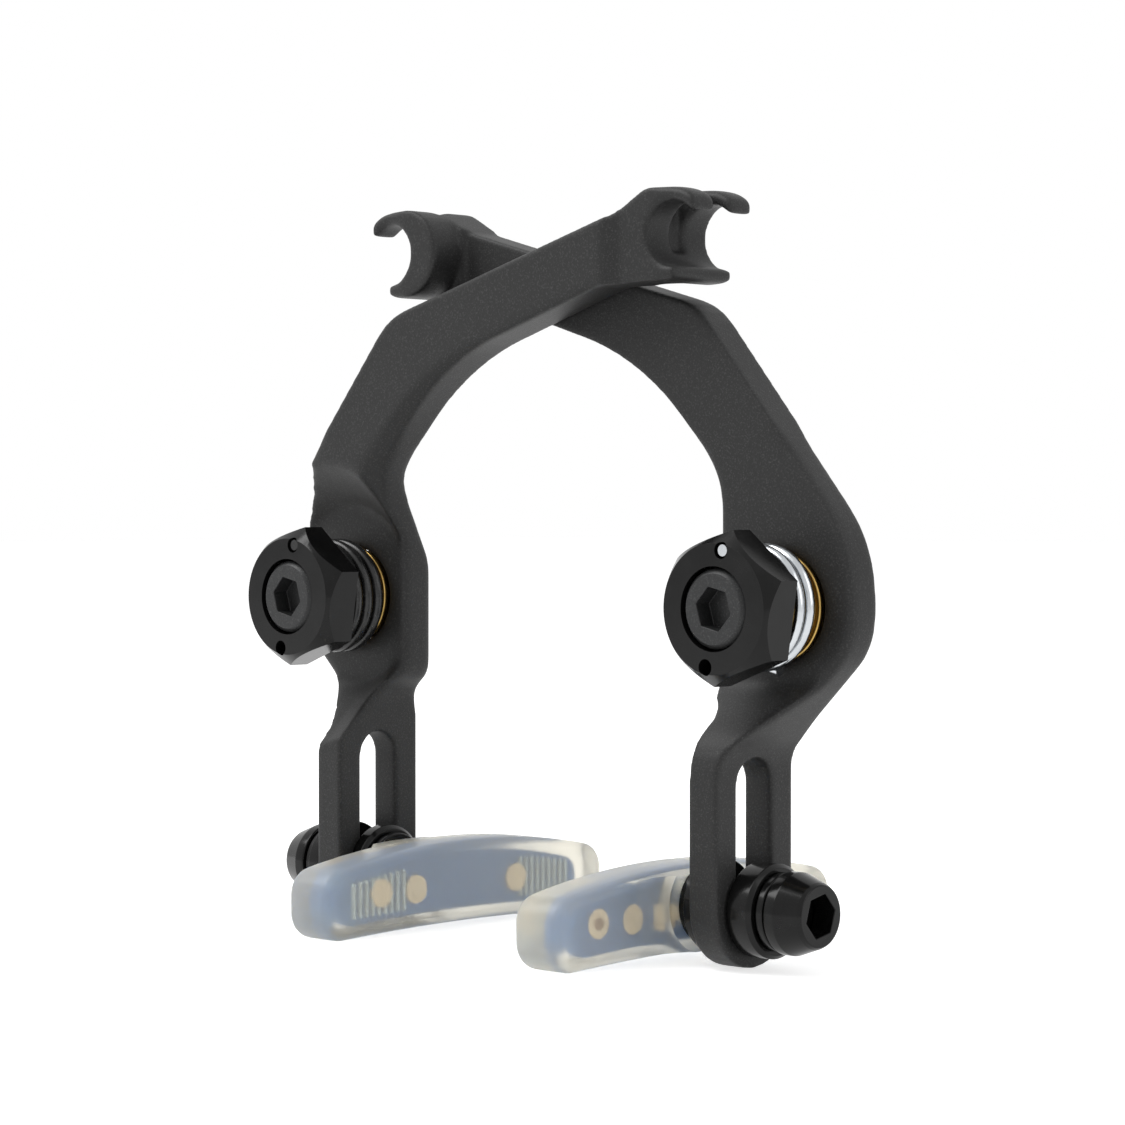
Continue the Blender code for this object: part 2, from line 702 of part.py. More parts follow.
def spring_route(side):
    """Wire points: straight leg in the nut, bend, coil, and a straight tail by the flange."""
    start = math.radians(LEG_HOLE_DEG)
    coil_front = NUT_BACK_Y + SEAT_GAP + WIRE_D / 2
    coil_back = FLANGE_FRONT_Y - SEAT_GAP - WIRE_D / 2
    leg_x, leg_z = coil_place(side, start)
    leg = Vector((leg_x, 0, leg_z))
    along = Vector((-math.sin(start), 0, math.cos(start))) * side
    route = [leg + Vector((0, NUT_FACE_Y + SEAT_GAP, 0))]
    for step in range(BEND_POINTS):
        angle = math.pi / 2 * step / BEND_POINTS
        sideways = along * (LEG_BEND_R * (1 - math.cos(angle)))
        route.append(leg + sideways + Vector((0, coil_front - LEG_BEND_R * (1 - math.sin(angle)), 0)))
    first = start + side * LEG_BEND_R / COIL_R
    turns = (coil_back - coil_front) / COIL_PITCH
    count = math.ceil(turns * COIL_POINTS)
    for step in range(count + 1):
        angle = first + side * math.tau * turns * step / count
        x, z = coil_place(side, angle)
        route.append(Vector((x, coil_front + (coil_back - coil_front) * step / count, z)))
    tangent = Vector((-math.sin(angle), 0, math.cos(angle))) * side
    route.append(route[-1] + tangent * SPRING_TAIL)
    return route


def least_self_gap(route):
    """The least gap between stretches of the wire that lie over half a turn apart."""
    skip = COIL_POINTS // 2
    nearest = min(
        (a - b).length
        for index, a in enumerate(route)
        for b in route[index + skip:]
    )
    return nearest - WIRE_D


def return_spring(name, side, finish, joint):
    """The wound wire as one unbroken tube."""
    route = spring_route(side)
    print(name, "least gap to itself, mm:", round(least_self_gap(route), 3))
    curve = bpy.data.curves.new(name, "CURVE")
    curve.dimensions = "3D"
    curve.bevel_depth = WIRE_D / 2 * MM
    curve.bevel_resolution = 1
    curve.use_fill_caps = True
    spline = curve.splines.new("POLY")
    spline.points.add(len(route) - 1)
    for point, place in zip(spline.points, route):
        point.co = (*(place * MM), 1.0)
    spring = bpy.data.objects.new(name, curve)
    CUTTERS.objects.link(spring)
    return finish_piece(spring, name, finish, joint)


# Pads and their hardware

def pad_outline(inset_end, inset):
    """A brake block seen from the side: its two long edges are arcs over the wheel's rim."""
    half = PAD_LENGTH / 2 - inset_end
    mid_y = LEG_MID_Y + PAD_SHIFT_Y
    low_mid = STUD_Z + PAD_SHIFT_Z - PAD_MID_HEIGHT / 2 + inset
    high_mid = STUD_Z + PAD_SHIFT_Z + PAD_MID_HEIGHT / 2 - inset
    corners = []
    for step in range(PAD_ARC_STEPS + 1):
        share = 2 * step / PAD_ARC_STEPS - 1
        radius = PAD_END_R if abs(share) == 1 else 0
        corners.append((mid_y + half * share, low_mid - PAD_BOTTOM_RISE * share ** 2, radius))
    for step in range(PAD_ARC_STEPS + 1):
        share = 1 - 2 * step / PAD_ARC_STEPS
        radius = PAD_END_R if abs(share) == 1 else 0
        corners.append((mid_y + half * share, high_mid - PAD_TOP_RISE * share ** 2, radius))
    return rounded(corners)


def pad_slab(name, side, inset_end, inset, low, high):
    """A solid of the brake block's outline between two distances from the middle plane."""
    ends = sorted((side * low, side * high))
    return slab(name, pad_outline(inset_end, inset), "side", *ends)


def stud_rod(name, side, low, high, radius, sides=TURN_STEPS):
    """A rod on the stud's axis between two distances from the middle plane."""
    return rod(name, (0, LEG_MID_Y, STUD_Z), (side, 0, 0), low, high, radius, sides=sides)


def pad_boss(name, side):
    """The flared rise on the block's back that the inner washers bear on."""
    foot = PAD_BACK_X - CARRIER_BACK / 2
    top = PAD_BACK_X + PAD_BOSS_T
    stud = (0, LEG_MID_Y, STUD_Z)
    boss = rod(name, stud, (side, 0, 0), foot, top, PAD_BOSS_FOOT_R, PAD_BOSS_R)
    limit = pad_slab(
        name + "_limit", side, PAD_BOSS_INSET, PAD_BOSS_INSET, foot - TRIM_MARGIN, top + TRIM_MARGIN
    )
    return combine(boss, limit, "INTERSECT")


def pad_rubber(name, side, joint):
    """The moulded block, hollow for its carrier and open at the back for the stud."""
    block = pad_slab(name, side, 0, 0, PAD_FACE_X, PAD_BACK_X)
    edge = block.modifiers.new("round_edges", "BEVEL")
    edge.width = PAD_EDGE_R * MM
    edge.segments = 2
    edge.limit_method = "ANGLE"
    edge.angle_limit = math.radians(60)
    combine(block, pad_boss(name + "_boss", side), "UNION")
    hollow = pad_slab(
        name + "_hollow",
        side,
        CARRIER_WALL_END - SEAT_GAP,
        CARRIER_WALL - SEAT_GAP,
        CARRIER_FACE_X - SEAT_GAP,
        CARRIER_BACK_X + SEAT_GAP,
    )
    combine(block, hollow, "DIFFERENCE")
    hole = stud_rod(name + "_hole", side, CARRIER_BACK_X, PAD_BACK_X + CUT_MARGIN, STUD_HOLE_R)
    combine(block, hole, "DIFFERENCE")
    return finish_piece(block, name, "clear_rubber", joint)


def pad_carrier(name, side, joint):
    """The stiff insert that the rubber is moulded round, with a blind hole for the stud."""
    plate = pad_slab(name, side, CARRIER_WALL_END, CARRIER_WALL, CARRIER_FACE_X, CARRIER_BACK_X)
    floor = CARRIER_FACE_X + CARRIER_FLOOR
    root_r = STUD_ROOT_D / 2 + SEAT_GAP
    hole = stud_rod(name + "_hole", side, floor, CARRIER_BACK_X + CUT_MARGIN, root_r)
    combine(plate, hole, "DIFFERENCE")
    return finish_piece(plate, name, "carrier_blue", joint)


def pad_stud(name, side, joint):
    """The stud, with a thinner root moulded into the carrier."""
    shoulder = CARRIER_BACK_X + SEAT_GAP
    profile = [
        (0, STUD_END_X),
        (STUD_D / 2, STUD_END_X),
        (STUD_D / 2, shoulder),
        (STUD_ROOT_D / 2, shoulder),
        (STUD_ROOT_D / 2, STUD_START_X),
        (0, STUD_START_X),
    ]
    stud = turned(name, (0, LEG_MID_Y, STUD_Z), (side, 0, 0), profile)
    return finish_piece(stud, name, "dark_phosphate", joint)


def sphere_drop(radius):
    """How far the washers' shared sphere falls away from its height at the bore."""
    at_bore = math.sqrt(DOME_SPHERE_R ** 2 - STUD_HOLE_R ** 2)
    return at_bore - math.sqrt(DOME_SPHERE_R ** 2 - radius ** 2)


def sphere_radii():
    """Radii from the rim to the bore at which the washers' sphere is drawn."""
    shares = [step / SPHERE_STEPS for step in range(SPHERE_STEPS + 1)]
    return [DOME_R + (STUD_HOLE_R - DOME_R) * share for share in shares]


def dome_profile():
    """Washer with a flat base at height 0 and a spherical crown above."""
    crown = [(radius, DOME_T - sphere_drop(radius)) for radius in reversed(sphere_radii())]
    return crown + [(DOME_R, 0), (STUD_HOLE_R, 0)]


def cup_profile(thickness):
    """Washer with a flat base at height 0 and a hollow above that takes the dome."""
    hollow = [(radius, thickness + sphere_drop(radius)) for radius in reversed(sphere_radii())]
    rim = thickness + sphere_drop(DOME_R)
    lip_r = DOME_R + CUP_LIP
    return hollow + [(lip_r, rim), (CUP_R, rim - CUP_LIP), (CUP_R, 0), (STUD_HOLE_R, 0)]


def washer(name, side, base_x, outward, profile, joint):
    """A turned washer whose base lies at a distance from the middle plane."""
    centre = (side * base_x, LEG_MID_Y, STUD_Z)
    ring = turned(name, centre, (side * outward, 0, 0), profile)
    return finish_piece(ring, name, "gloss_black", joint)


def pad_nut(name, side, joint):
    """Low conical nut, open right through, with a hexagon socket in its nose."""
    profile = [
        (0, PAD_NUT_T),
        (PAD_NUT_NOSE_R - PAD_NUT_EDGE, PAD_NUT_T),
        (PAD_NUT_NOSE_R, PAD_NUT_T - PAD_NUT_EDGE),
        (PAD_NUT_R, PAD_NUT_LAND),
        (PAD_NUT_R, PAD_NUT_EDGE),
        (PAD_NUT_R - PAD_NUT_EDGE, 0),
        (0, 0),
    ]
    nut = turned(name, (side * PAD_NUT_X, LEG_MID_Y, STUD_Z), (side, 0, 0), profile)
    socket_floor = PAD_NUT_END_X - PAD_SOCKET_DEPTH
    thread = stud_rod(name + "_thread", side, PAD_NUT_X - CUT_MARGIN, socket_floor, STUD_HOLE_R)
    socket_r = hex_radius(PAD_SOCKET_AF)
    socket = stud_rod(
        name + "_socket", side, socket_floor - TRIM_MARGIN, PAD_NUT_END_X + CUT_MARGIN, socket_r, sides=6
    )
    combine(nut, thread, "DIFFERENCE")
    combine(nut, socket, "DIFFERENCE")
    return finish_piece(nut, name, "gloss_black", joint)


# Assembly

def build_side(label, side, crossing_front, spring_finish):
    """All the pieces of one side, each on the empty of the joint that moves it."""
    pivot = joint_empty(label + "_pivot_axis", side * PIVOT_X, SEAT_Y, 0)
    clamp = joint_empty(label + "_clamp_axis", side * LEG_OUT_X, LEG_MID_Y, STUD_Z)
    brake_arm(label + "_arm", side, crossing_front, pivot)
    pivot_bushing(label + "_pivot_bushing", side, pivot)
    return_spring(label + "_spring", side, spring_finish, pivot)
    adjuster_nut(label + "_adjuster_nut", side, pivot)
    mounting_bolt(label + "_mounting_bolt", side, pivot)
    pad_rubber(label + "_pad_rubber", side, clamp)
    pad_carrier(label + "_pad_carrier", side, clamp)
    pad_stud(label + "_pad_stud", side, clamp)
    inner_dome_x = PAD_BACK_X + PAD_BOSS_T + SEAT_GAP
    inner_cup_x = LEG_IN_X - SEAT_GAP
    inner_cup_t = inner_cup_x - inner_dome_x - DOME_T - SEAT_GAP
    washer(label + "_inner_dome_washer", side, inner_dome_x, 1, dome_profile(), clamp)
    washer(label + "_inner_cup_washer", side, inner_cup_x, -1, cup_profile(inner_cup_t), clamp)
    washer(label + "_outer_cup_washer", side, OUTER_CUP_X, 1, cup_profile(OUTER_CUP_T), clamp)
    outer_dome_base = OUTER_DOME_X + DOME_T
    washer(label + "_outer_dome_washer", side, outer_dome_base, -1, dome_profile(), clamp)
    pad_nut(label + "_pad_nut", side, clamp)


def main():
    build_side("left", SIDES["left"], True, "black_wire")
    build_side("right", SIDES["right"], False, "bright_zinc")


main()
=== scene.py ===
"""Looks of the rim brake caliper: forged arms, turned hardware, wire springs and clear pads."""

import math

import bmesh
import bpy
from mathutils import Matrix, Vector


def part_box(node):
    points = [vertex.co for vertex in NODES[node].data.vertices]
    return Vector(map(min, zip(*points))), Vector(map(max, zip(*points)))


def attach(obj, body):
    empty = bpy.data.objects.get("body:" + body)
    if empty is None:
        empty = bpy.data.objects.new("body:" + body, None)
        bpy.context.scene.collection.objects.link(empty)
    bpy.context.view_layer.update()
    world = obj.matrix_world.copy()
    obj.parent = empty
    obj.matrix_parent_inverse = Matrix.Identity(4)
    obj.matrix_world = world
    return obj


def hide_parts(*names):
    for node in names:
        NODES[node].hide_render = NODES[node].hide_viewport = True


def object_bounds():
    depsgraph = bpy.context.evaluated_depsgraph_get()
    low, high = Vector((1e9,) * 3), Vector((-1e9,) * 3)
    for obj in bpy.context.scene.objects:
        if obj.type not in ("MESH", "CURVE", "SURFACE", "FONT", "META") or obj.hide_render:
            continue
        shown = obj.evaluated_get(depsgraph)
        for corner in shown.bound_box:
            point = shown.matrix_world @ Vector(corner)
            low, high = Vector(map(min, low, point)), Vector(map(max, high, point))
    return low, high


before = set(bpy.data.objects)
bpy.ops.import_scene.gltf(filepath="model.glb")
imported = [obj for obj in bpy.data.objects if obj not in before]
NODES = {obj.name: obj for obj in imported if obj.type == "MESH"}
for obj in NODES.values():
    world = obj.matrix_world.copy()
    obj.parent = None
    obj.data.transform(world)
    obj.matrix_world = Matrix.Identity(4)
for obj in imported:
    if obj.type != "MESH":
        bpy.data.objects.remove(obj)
CAD_LOW, CAD_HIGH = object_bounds()

MM = 0.001
SIDES = {"left": -1.0, "right": 1.0}

# Camera, as fitted to the two bolt faces
CAMERA_AZIMUTH_DEG = 43.65
CAMERA_ELEVATION_DEG = 1.0
CAMERA_PLACE_MM = (295.27, -314.39, 12.55)
CAMERA_LENS_MM = 101.49
SENSOR_MM = 36.0

# Stage
FLOOR_DROP_MM = 0.1
FLOOR_SIZE_M = 4.0
FLOOR_COLOUR = (0.85, 0.85, 0.85, 1)
FLOOR_ROUGHNESS = 0.9
FLOOR_SPECULAR = 0.1
FLOOR_GLOW = 0.7
WORLD_FILL = 0.4
WHITE = (1, 1, 1, 1)
KEY_LAMP_PLACE_M = (-0.5, -0.5, 0.9)
KEY_LAMP_SIZE_M = (0.7, 0.7)
KEY_LAMP_W = 9.0
SIDE_LAMP_PLACE_M = (0.9, 0.1, 0.5)
SIDE_LAMP_SIZE_M = (0.6, 0.9)
SIDE_LAMP_W = 2.5

# Fineness
ROUND_STEPS = 96
HOLE_STEPS = 40
HEX_SIDES = 6
FEWEST_ARC_STEPS = 3
ARC_STEP_DEG = 9.0
ARM_CELL_MM = 0.28
ARM_SMOOTHING = 16
SMOOTHING_FACTOR = 0.5
MERGE_M = 1e-7
WELD_MM = 0.012
POINT_GAP_MM = 0.01
FLAT_DEG = 0.5
STRAIGHT_HALF_DEG = 89.5
SHARP_DEG = 32.0
PAD_SHARP_DEG = 40.0
WIRE_SHARP_DEG = 50.0
ROUND_FROM_DEG = 28.0
ROUND_SEGMENTS = 3
CUT_MARGIN_MM = 1.0

# Arms, in millimetres
BLEND_LOW = -14.0
BLEND_HIGH = 20.0
BLEND_FADE = 3.0
BLEND_LIP = 26.0
BLEND_SMOOTHING = 80
INNER_BEVEL_MM = 3.4
INNER_BEVEL_END_MM = 0.5
INNER_EDGE = [(-29.2, 6.0, 0), (-29.2, 15.9, 10.0), (-17.9, 31.2, 40.0), (14.2, 41.2, 0)]
INNER_EDGE_STEP_DEG = 4.0

# Pivot hardware, in millimetres
GAP = 0.3
BOLT_HEAD_T = 3.4
BOLT_SOCKET_AF = 5.0
BOLT_SOCKET_DEPTH = 2.5
NUT_CHAMFER = 2.1
NUT_FACE_INSET = 0.4
NUT_CORNER_DEG = 9.0
NUT_EDGE_W = 0.16
BOLT_SOCKET_DEG = 43.0
BOLT_HEAD_CHAMFER = 0.6
BOLT_EDGE_R = 0.2
BOLT_END_R = 0.5
BOLT_EDGE_W = 0.12
LEG_HOLE_DEG = 80.0
WIRE_D = 1.5
COIL_PITCH = 1.95
COIL_POINTS = 40
WIRE_ROUND_STEPS = 4
LEG_BEND_R = 1.3
LEG_BEND_POINTS = 10
SPRING_TAIL = 3.4
FLANGE_T = 0.6
FLANGE_LIP = 0.8
FLANGE_ROOT_R = 0.15
FLANGE_EDGE_R = 0.25
BUSHING_R = 6.3
BUSHING_BORE_R = 4.5
BUSHING_EDGE_R = 0.3
BOLT_R = 3.0
BOLT_HEAD_R = 5.0
BOLT_SEAT_R = BOLT_HEAD_R + GAP
SHANK_HOLE_R = BOLT_R + GAP
LEG_HOLE_R = WIRE_D / 2 + GAP
COIL_R = BUSHING_R + GAP + WIRE_D / 2
NUT_WALL = 1.2
NUT_AF = 2 * (COIL_R + NUT_WALL)
FLANGE_FRONT = 7.4
FRONT_BEAM_Y = -13.7

# Pad hardware, in millimetres
STUD_R = 3.0
STUD_ROOT_R = 2.1
STUD_BORE_R = 3.3
STUD_SHOULDER_R = 0.2
THREAD_PITCH = 1.0
THREAD_DEPTH = 0.3
DOME_R = 5.0
DOME_SPHERE_R = 8.0
CUP_R = 6.0
CUP_LIP = 0.5
SPHERE_STEPS = 14
BORE_EDGE_R = 0.15
DOME_FOOT_R = 0.25
CUP_LIP_R = 0.15
CUP_EDGE_R = 0.2
CUP_FOOT_R = 0.3
NUT_LAND = 1.6
NUT_NOSE_R = 4.2
NUT_NOSE_INSET = 0.3
NUT_NOSE_FALL = 0.5
NUT_NOSE_TIP_R = 0.25
NUT_NOSE_EDGE_R = 0.4
PAD_NUT_R = 5.25
PAD_NUT_LAND_R = 0.5
PAD_NUT_FOOT_R = 0.3
PAD_NUT_EDGE_W = 0.12
PAD_SOCKET_AF = 5.0
PAD_SOCKET_DEPTH = 3.2
PAD_SOCKET_OVERLAP = 0.5
PAD_SOCKET_DEG = 12.0

# Pads, in millimetres
PAD_TOP_RISE = 3.0
PAD_BOTTOM_RISE = 0.9
PAD_END_R = 3.6
PAD_EDGE_R = 1.5
PAD_BOSS_R = 6.3
PAD_BOSS_FOOT_R = 13.0
PAD_BOSS_INSET = 0.5
PAD_BOSS_CURVE = 2.5
PAD_BOSS_EDGE_R = 0.2
PAD_BOSS_STEPS = 10
PAD_ARC_STEPS = 12
PAD_EDGE_STEPS = 6
INSERT_END = 4.0
INSERT_WALL = 1.7
INSERT_END_R = 2.6
INSERT_MIDDLE_DROP = 0.6
CARRIER_BACK = 1.6
ROOT_FLOOR = 1.2
INSERT_EDGE_R = 0.5
PLUG_R = 1.9
PLUG_PLACES = {"left": (-15.5, -9.0, 10.4), "right": (-18.4, -11.9, 11.0)}
PLUG_PROUD = 0.8
PLUG_BACK_PROUD = 0.05
PLUG_CORE_R = 0.75
PLUG_CORE_PROUD = 0.3
TAB_SIZE = (1.6, 2.0, 3.0)
TAB_PLACE = -6.9
RIB_COUNT = 9
RIB_PITCH = 1.15
RIB_T = 0.45
RIB_PROUD = 0.7
RIB_END_GAP = 2.5
RIB_FOOT_GAP = 0.8
RIB_TOP_GAP = 1.2


# Shared tools

def soften(corners, step_deg=ARC_STEP_DEG):
    """Outline points from (u, v, radius) corners, each round corner drawn as an arc."""
    points = []
    count = len(corners)
    for index, (u, v, radius) in enumerate(corners):
        corner = Vector((u, v))
        if radius == 0:
            points.append(corner)
            continue
        before = (Vector(corners[index - 1][:2]) - corner).normalized()
        after = (Vector(corners[(index + 1) % count][:2]) - corner).normalized()
        half = before.angle(after) / 2
        if half > math.radians(STRAIGHT_HALF_DEG):
            points.append(corner)
            continue
        centre = corner + (before + after).normalized() * (radius / math.sin(half))
        start = corner + before * (radius / math.tan(half)) - centre
        end = corner + after * (radius / math.tan(half)) - centre
        turn = start.angle_signed(end)
        steps = max(FEWEST_ARC_STEPS, math.ceil(abs(math.degrees(turn)) / step_deg))
        for step in range(steps + 1):
            points.append(centre + Matrix.Rotation(-turn * step / steps, 2) @ start)
    return points


def axis_turn(axis):
    """The turn that takes +Z onto the given direction."""
    return Vector((0, 0, 1)).rotation_difference(Vector(axis)).to_matrix().to_4x4()


def new_object(name, shape):
    """An object from a bmesh, merged, with its faces pointing out."""
    bmesh.ops.remove_doubles(shape, verts=shape.verts, dist=MERGE_M)
    bmesh.ops.recalc_face_normals(shape, faces=shape.faces)
    mesh = bpy.data.meshes.new(name)
    shape.to_mesh(mesh)
    shape.free()
    obj = bpy.data.objects.new(name, mesh)
    bpy.context.scene.collection.objects.link(obj)
    return obj


def bake_modifiers(obj):
    """Swaps an object's mesh for its evaluated one and clears its modifiers."""
    graph = bpy.context.evaluated_depsgraph_get()
    mesh = bpy.data.meshes.new_from_object(obj.evaluated_get(graph))
    obj.modifiers.clear()
    obj.data = mesh
    return obj


def lathe(name, centre, axis, corners, on_axis=False):
    """A turned piece: (radius, height, corner radius) corners spun about an axis, in mm."""
    shape = bmesh.new()
    points = soften(corners)
    rim = [shape.verts.new((point.x * MM, 0, point.y * MM)) for point in points]
    edges = [shape.edges.new(pair) for pair in zip(rim, rim[1:])]
    if not on_axis:
        edges.append(shape.edges.new((rim[-1], rim[0])))
    bmesh.ops.spin(
        shape,
        geom=rim + edges,
        cent=(0, 0, 0),
        axis=(0, 0, 1),
        angle=math.tau,
        steps=ROUND_STEPS,
        use_merge=True,
    )
    place = Matrix.Translation(Vector(centre) * MM) @ axis_turn(axis)
    bmesh.ops.transform(shape, matrix=place, verts=shape.verts)
    return new_object(name, shape)


def prism(name, centre, axis, low, high, radius, sides, turn_deg=0.0):
    """A straight rod or hexagon along an axis, in millimetres."""
    shape = bmesh.new()
    bmesh.ops.create_cone(
        shape,
        cap_ends=True,
        segments=sides,
        radius1=radius * MM,
        radius2=radius * MM,
        depth=(high - low) * MM,
    )
    lift = Matrix.Translation((0, 0, (low + high) / 2 * MM))
    spin = Matrix.Rotation(math.radians(turn_deg), 4, "Z")
    place = Matrix.Translation(Vector(centre) * MM) @ axis_turn(axis)
    bmesh.ops.transform(shape, matrix=place @ lift @ spin, verts=shape.verts)
    return new_object(name, shape)


def combine(piece, other, operation="DIFFERENCE"):
    """Cuts, keeps or adds another solid, which is then removed."""
    step = piece.modifiers.new("combine", "BOOLEAN")
    step.operation = operation
    step.object = other
    step.solver = "EXACT"
    bake_modifiers(piece)
    shape = bmesh.new()
    shape.from_mesh(piece.data)
    bmesh.ops.remove_doubles(shape, verts=shape.verts, dist=WELD_MM * MM)
    bmesh.ops.dissolve_limit(
        shape, angle_limit=math.radians(FLAT_DEG), verts=shape.verts, edges=shape.edges
    )
    shape.to_mesh(piece.data)
    shape.free()
    bpy.data.objects.remove(other)
    return piece


def round_edges(piece, width):
    """Small machined rounds along the sharp edges of a piece."""
    edge = piece.modifiers.new("round", "BEVEL")
    edge.width = width * MM
    edge.segments = ROUND_SEGMENTS
    edge.limit_method = "ANGLE"
    edge.angle_limit = math.radians(ROUND_FROM_DEG)
    edge.use_clamp_overlap = True
    bake_modifiers(piece)
    shade(piece)
    flats = piece.modifiers.new("flat_faces", "WEIGHTED_NORMAL")
    flats.keep_sharp = True
    return bake_modifiers(piece)


def shade(piece, angle_deg=SHARP_DEG):
    piece.data.shade_smooth()
    piece.data.set_sharp_from_angle(angle=math.radians(angle_deg))
    return piece


def settle(piece, body, node, finish):
    """Gives a piece its finish and body, and hides the CAD node it stands for."""
    piece.data.materials.clear()
    piece.data.materials.append(finish)
    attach(piece, body)
    if node:
        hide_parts(node)
    return piece


def node_box_mm(node):
    low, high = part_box(node)
    return low / MM, high / MM


def hex_radius(across_flats):
    return across_flats / 2 / math.cos(math.pi / HEX_SIDES)


# Shader groups: noise as (detail, roughness), bump distances in metres

GRAIN_NOISE = (3.0, 0.6)
BLOTCH_NOISE = (4.0, 0.55)
SMEAR_NOISE = (5.0, 0.6)
FLECK_RANGE = (0.52, 0.78)
SMEAR_RANGE = (0.45, 0.85)
BLOTCH_TONE = (0.88, 1.12)
BLOTCH_ROUGHNESS = 0.16
BLAST_BUMP_M = 0.00006
FINE_SCALE = 5200.0
FINE_DETAIL = 2.0
FINE_BUMP_M = 0.00003


def new_group(name, inputs, outputs):
    """An empty shader group with float or colour sockets."""
    group = bpy.data.node_groups.new(name, "ShaderNodeTree")
    for label, kind, value in inputs:
        socket = group.interface.new_socket(label, in_out="INPUT", socket_type=kind)
        socket.default_value = value
    for label, kind in outputs:
        group.interface.new_socket(label, in_out="OUTPUT", socket_type=kind)
    source = group.nodes.new("NodeGroupInput")
    sink = group.nodes.new("NodeGroupOutput")
    return group, source, sink


def add_noise(nodes, links, vector, scale_socket, detail, roughness):
    noise = nodes.new("ShaderNodeTexNoise")
    noise.inputs["Detail"].default_value = detail
    noise.inputs["Roughness"].default_value = roughness
    links.new(vector, noise.inputs["Vector"])
    links.new(scale_socket, noise.inputs["Scale"])
    return noise


def make_blast_group():
    """Blasted metal: fine grain, soft blotches and lighter flecks, from Object coordinates."""
    group, source, sink = new_group(
        "blasted_surface",
        [
            ("Colour", "NodeSocketColor", (0.05, 0.05, 0.05, 1)),
            ("Fleck Colour", "NodeSocketColor", (0.12, 0.12, 0.12, 1)),
            ("Grain Scale", "NodeSocketFloat", 4000.0),
            ("Blotch Scale", "NodeSocketFloat", 90.0),
            ("Roughness", "NodeSocketFloat", 0.5),
            ("Grain Height", "NodeSocketFloat", 0.2),
        ],
        [
            ("Colour", "NodeSocketColor"),
            ("Roughness", "NodeSocketFloat"),
            ("Normal", "NodeSocketVector"),
        ],
    )
    nodes = group.nodes
    links = group.links
    coords = nodes.new("ShaderNodeTexCoord")
    place = coords.outputs["Object"]
    grain = add_noise(nodes, links, place, source.outputs["Grain Scale"], *GRAIN_NOISE)
    blotch = add_noise(nodes, links, place, source.outputs["Blotch Scale"], *BLOTCH_NOISE)
    fleck_ramp = nodes.new("ShaderNodeValToRGB")
    fleck_ramp.color_ramp.elements[0].position = FLECK_RANGE[0]
    fleck_ramp.color_ramp.elements[1].position = FLECK_RANGE[1]
    links.new(grain.outputs["Fac"], fleck_ramp.inputs["Fac"])
    fleck_mix = nodes.new("ShaderNodeMix")
    fleck_mix.data_type = "RGBA"
    links.new(fleck_ramp.outputs["Color"], fleck_mix.inputs["Factor"])
    links.new(source.outputs["Colour"], fleck_mix.inputs["A"])
    links.new(source.outputs["Fleck Colour"], fleck_mix.inputs["B"])
    shade_range = nodes.new("ShaderNodeMapRange")
    shade_range.inputs["To Min"].default_value = BLOTCH_TONE[0]
    shade_range.inputs["To Max"].default_value = BLOTCH_TONE[1]
    links.new(blotch.outputs["Fac"], shade_range.inputs["Value"])
    tone = nodes.new("ShaderNodeVectorMath")
    tone.operation = "SCALE"
    links.new(fleck_mix.outputs["Result"], tone.inputs["Vector"])
    links.new(shade_range.outputs["Result"], tone.inputs["Scale"])
    links.new(tone.outputs["Vector"], sink.inputs["Colour"])
    rough = nodes.new("ShaderNodeMath")
    rough.operation = "MULTIPLY_ADD"
    rough.inputs[1].default_value = BLOTCH_ROUGHNESS
    links.new(blotch.outputs["Fac"], rough.inputs[0])
    links.new(source.outputs["Roughness"], rough.inputs[2])
    links.new(rough.outputs["Value"], sink.inputs["Roughness"])
    bump = nodes.new("ShaderNodeBump")
    bump.inputs["Distance"].default_value = BLAST_BUMP_M
    links.new(source.outputs["Grain Height"], bump.inputs["Strength"])
    links.new(grain.outputs["Fac"], bump.inputs["Height"])
    links.new(bump.outputs["Normal"], sink.inputs["Normal"])
    return group


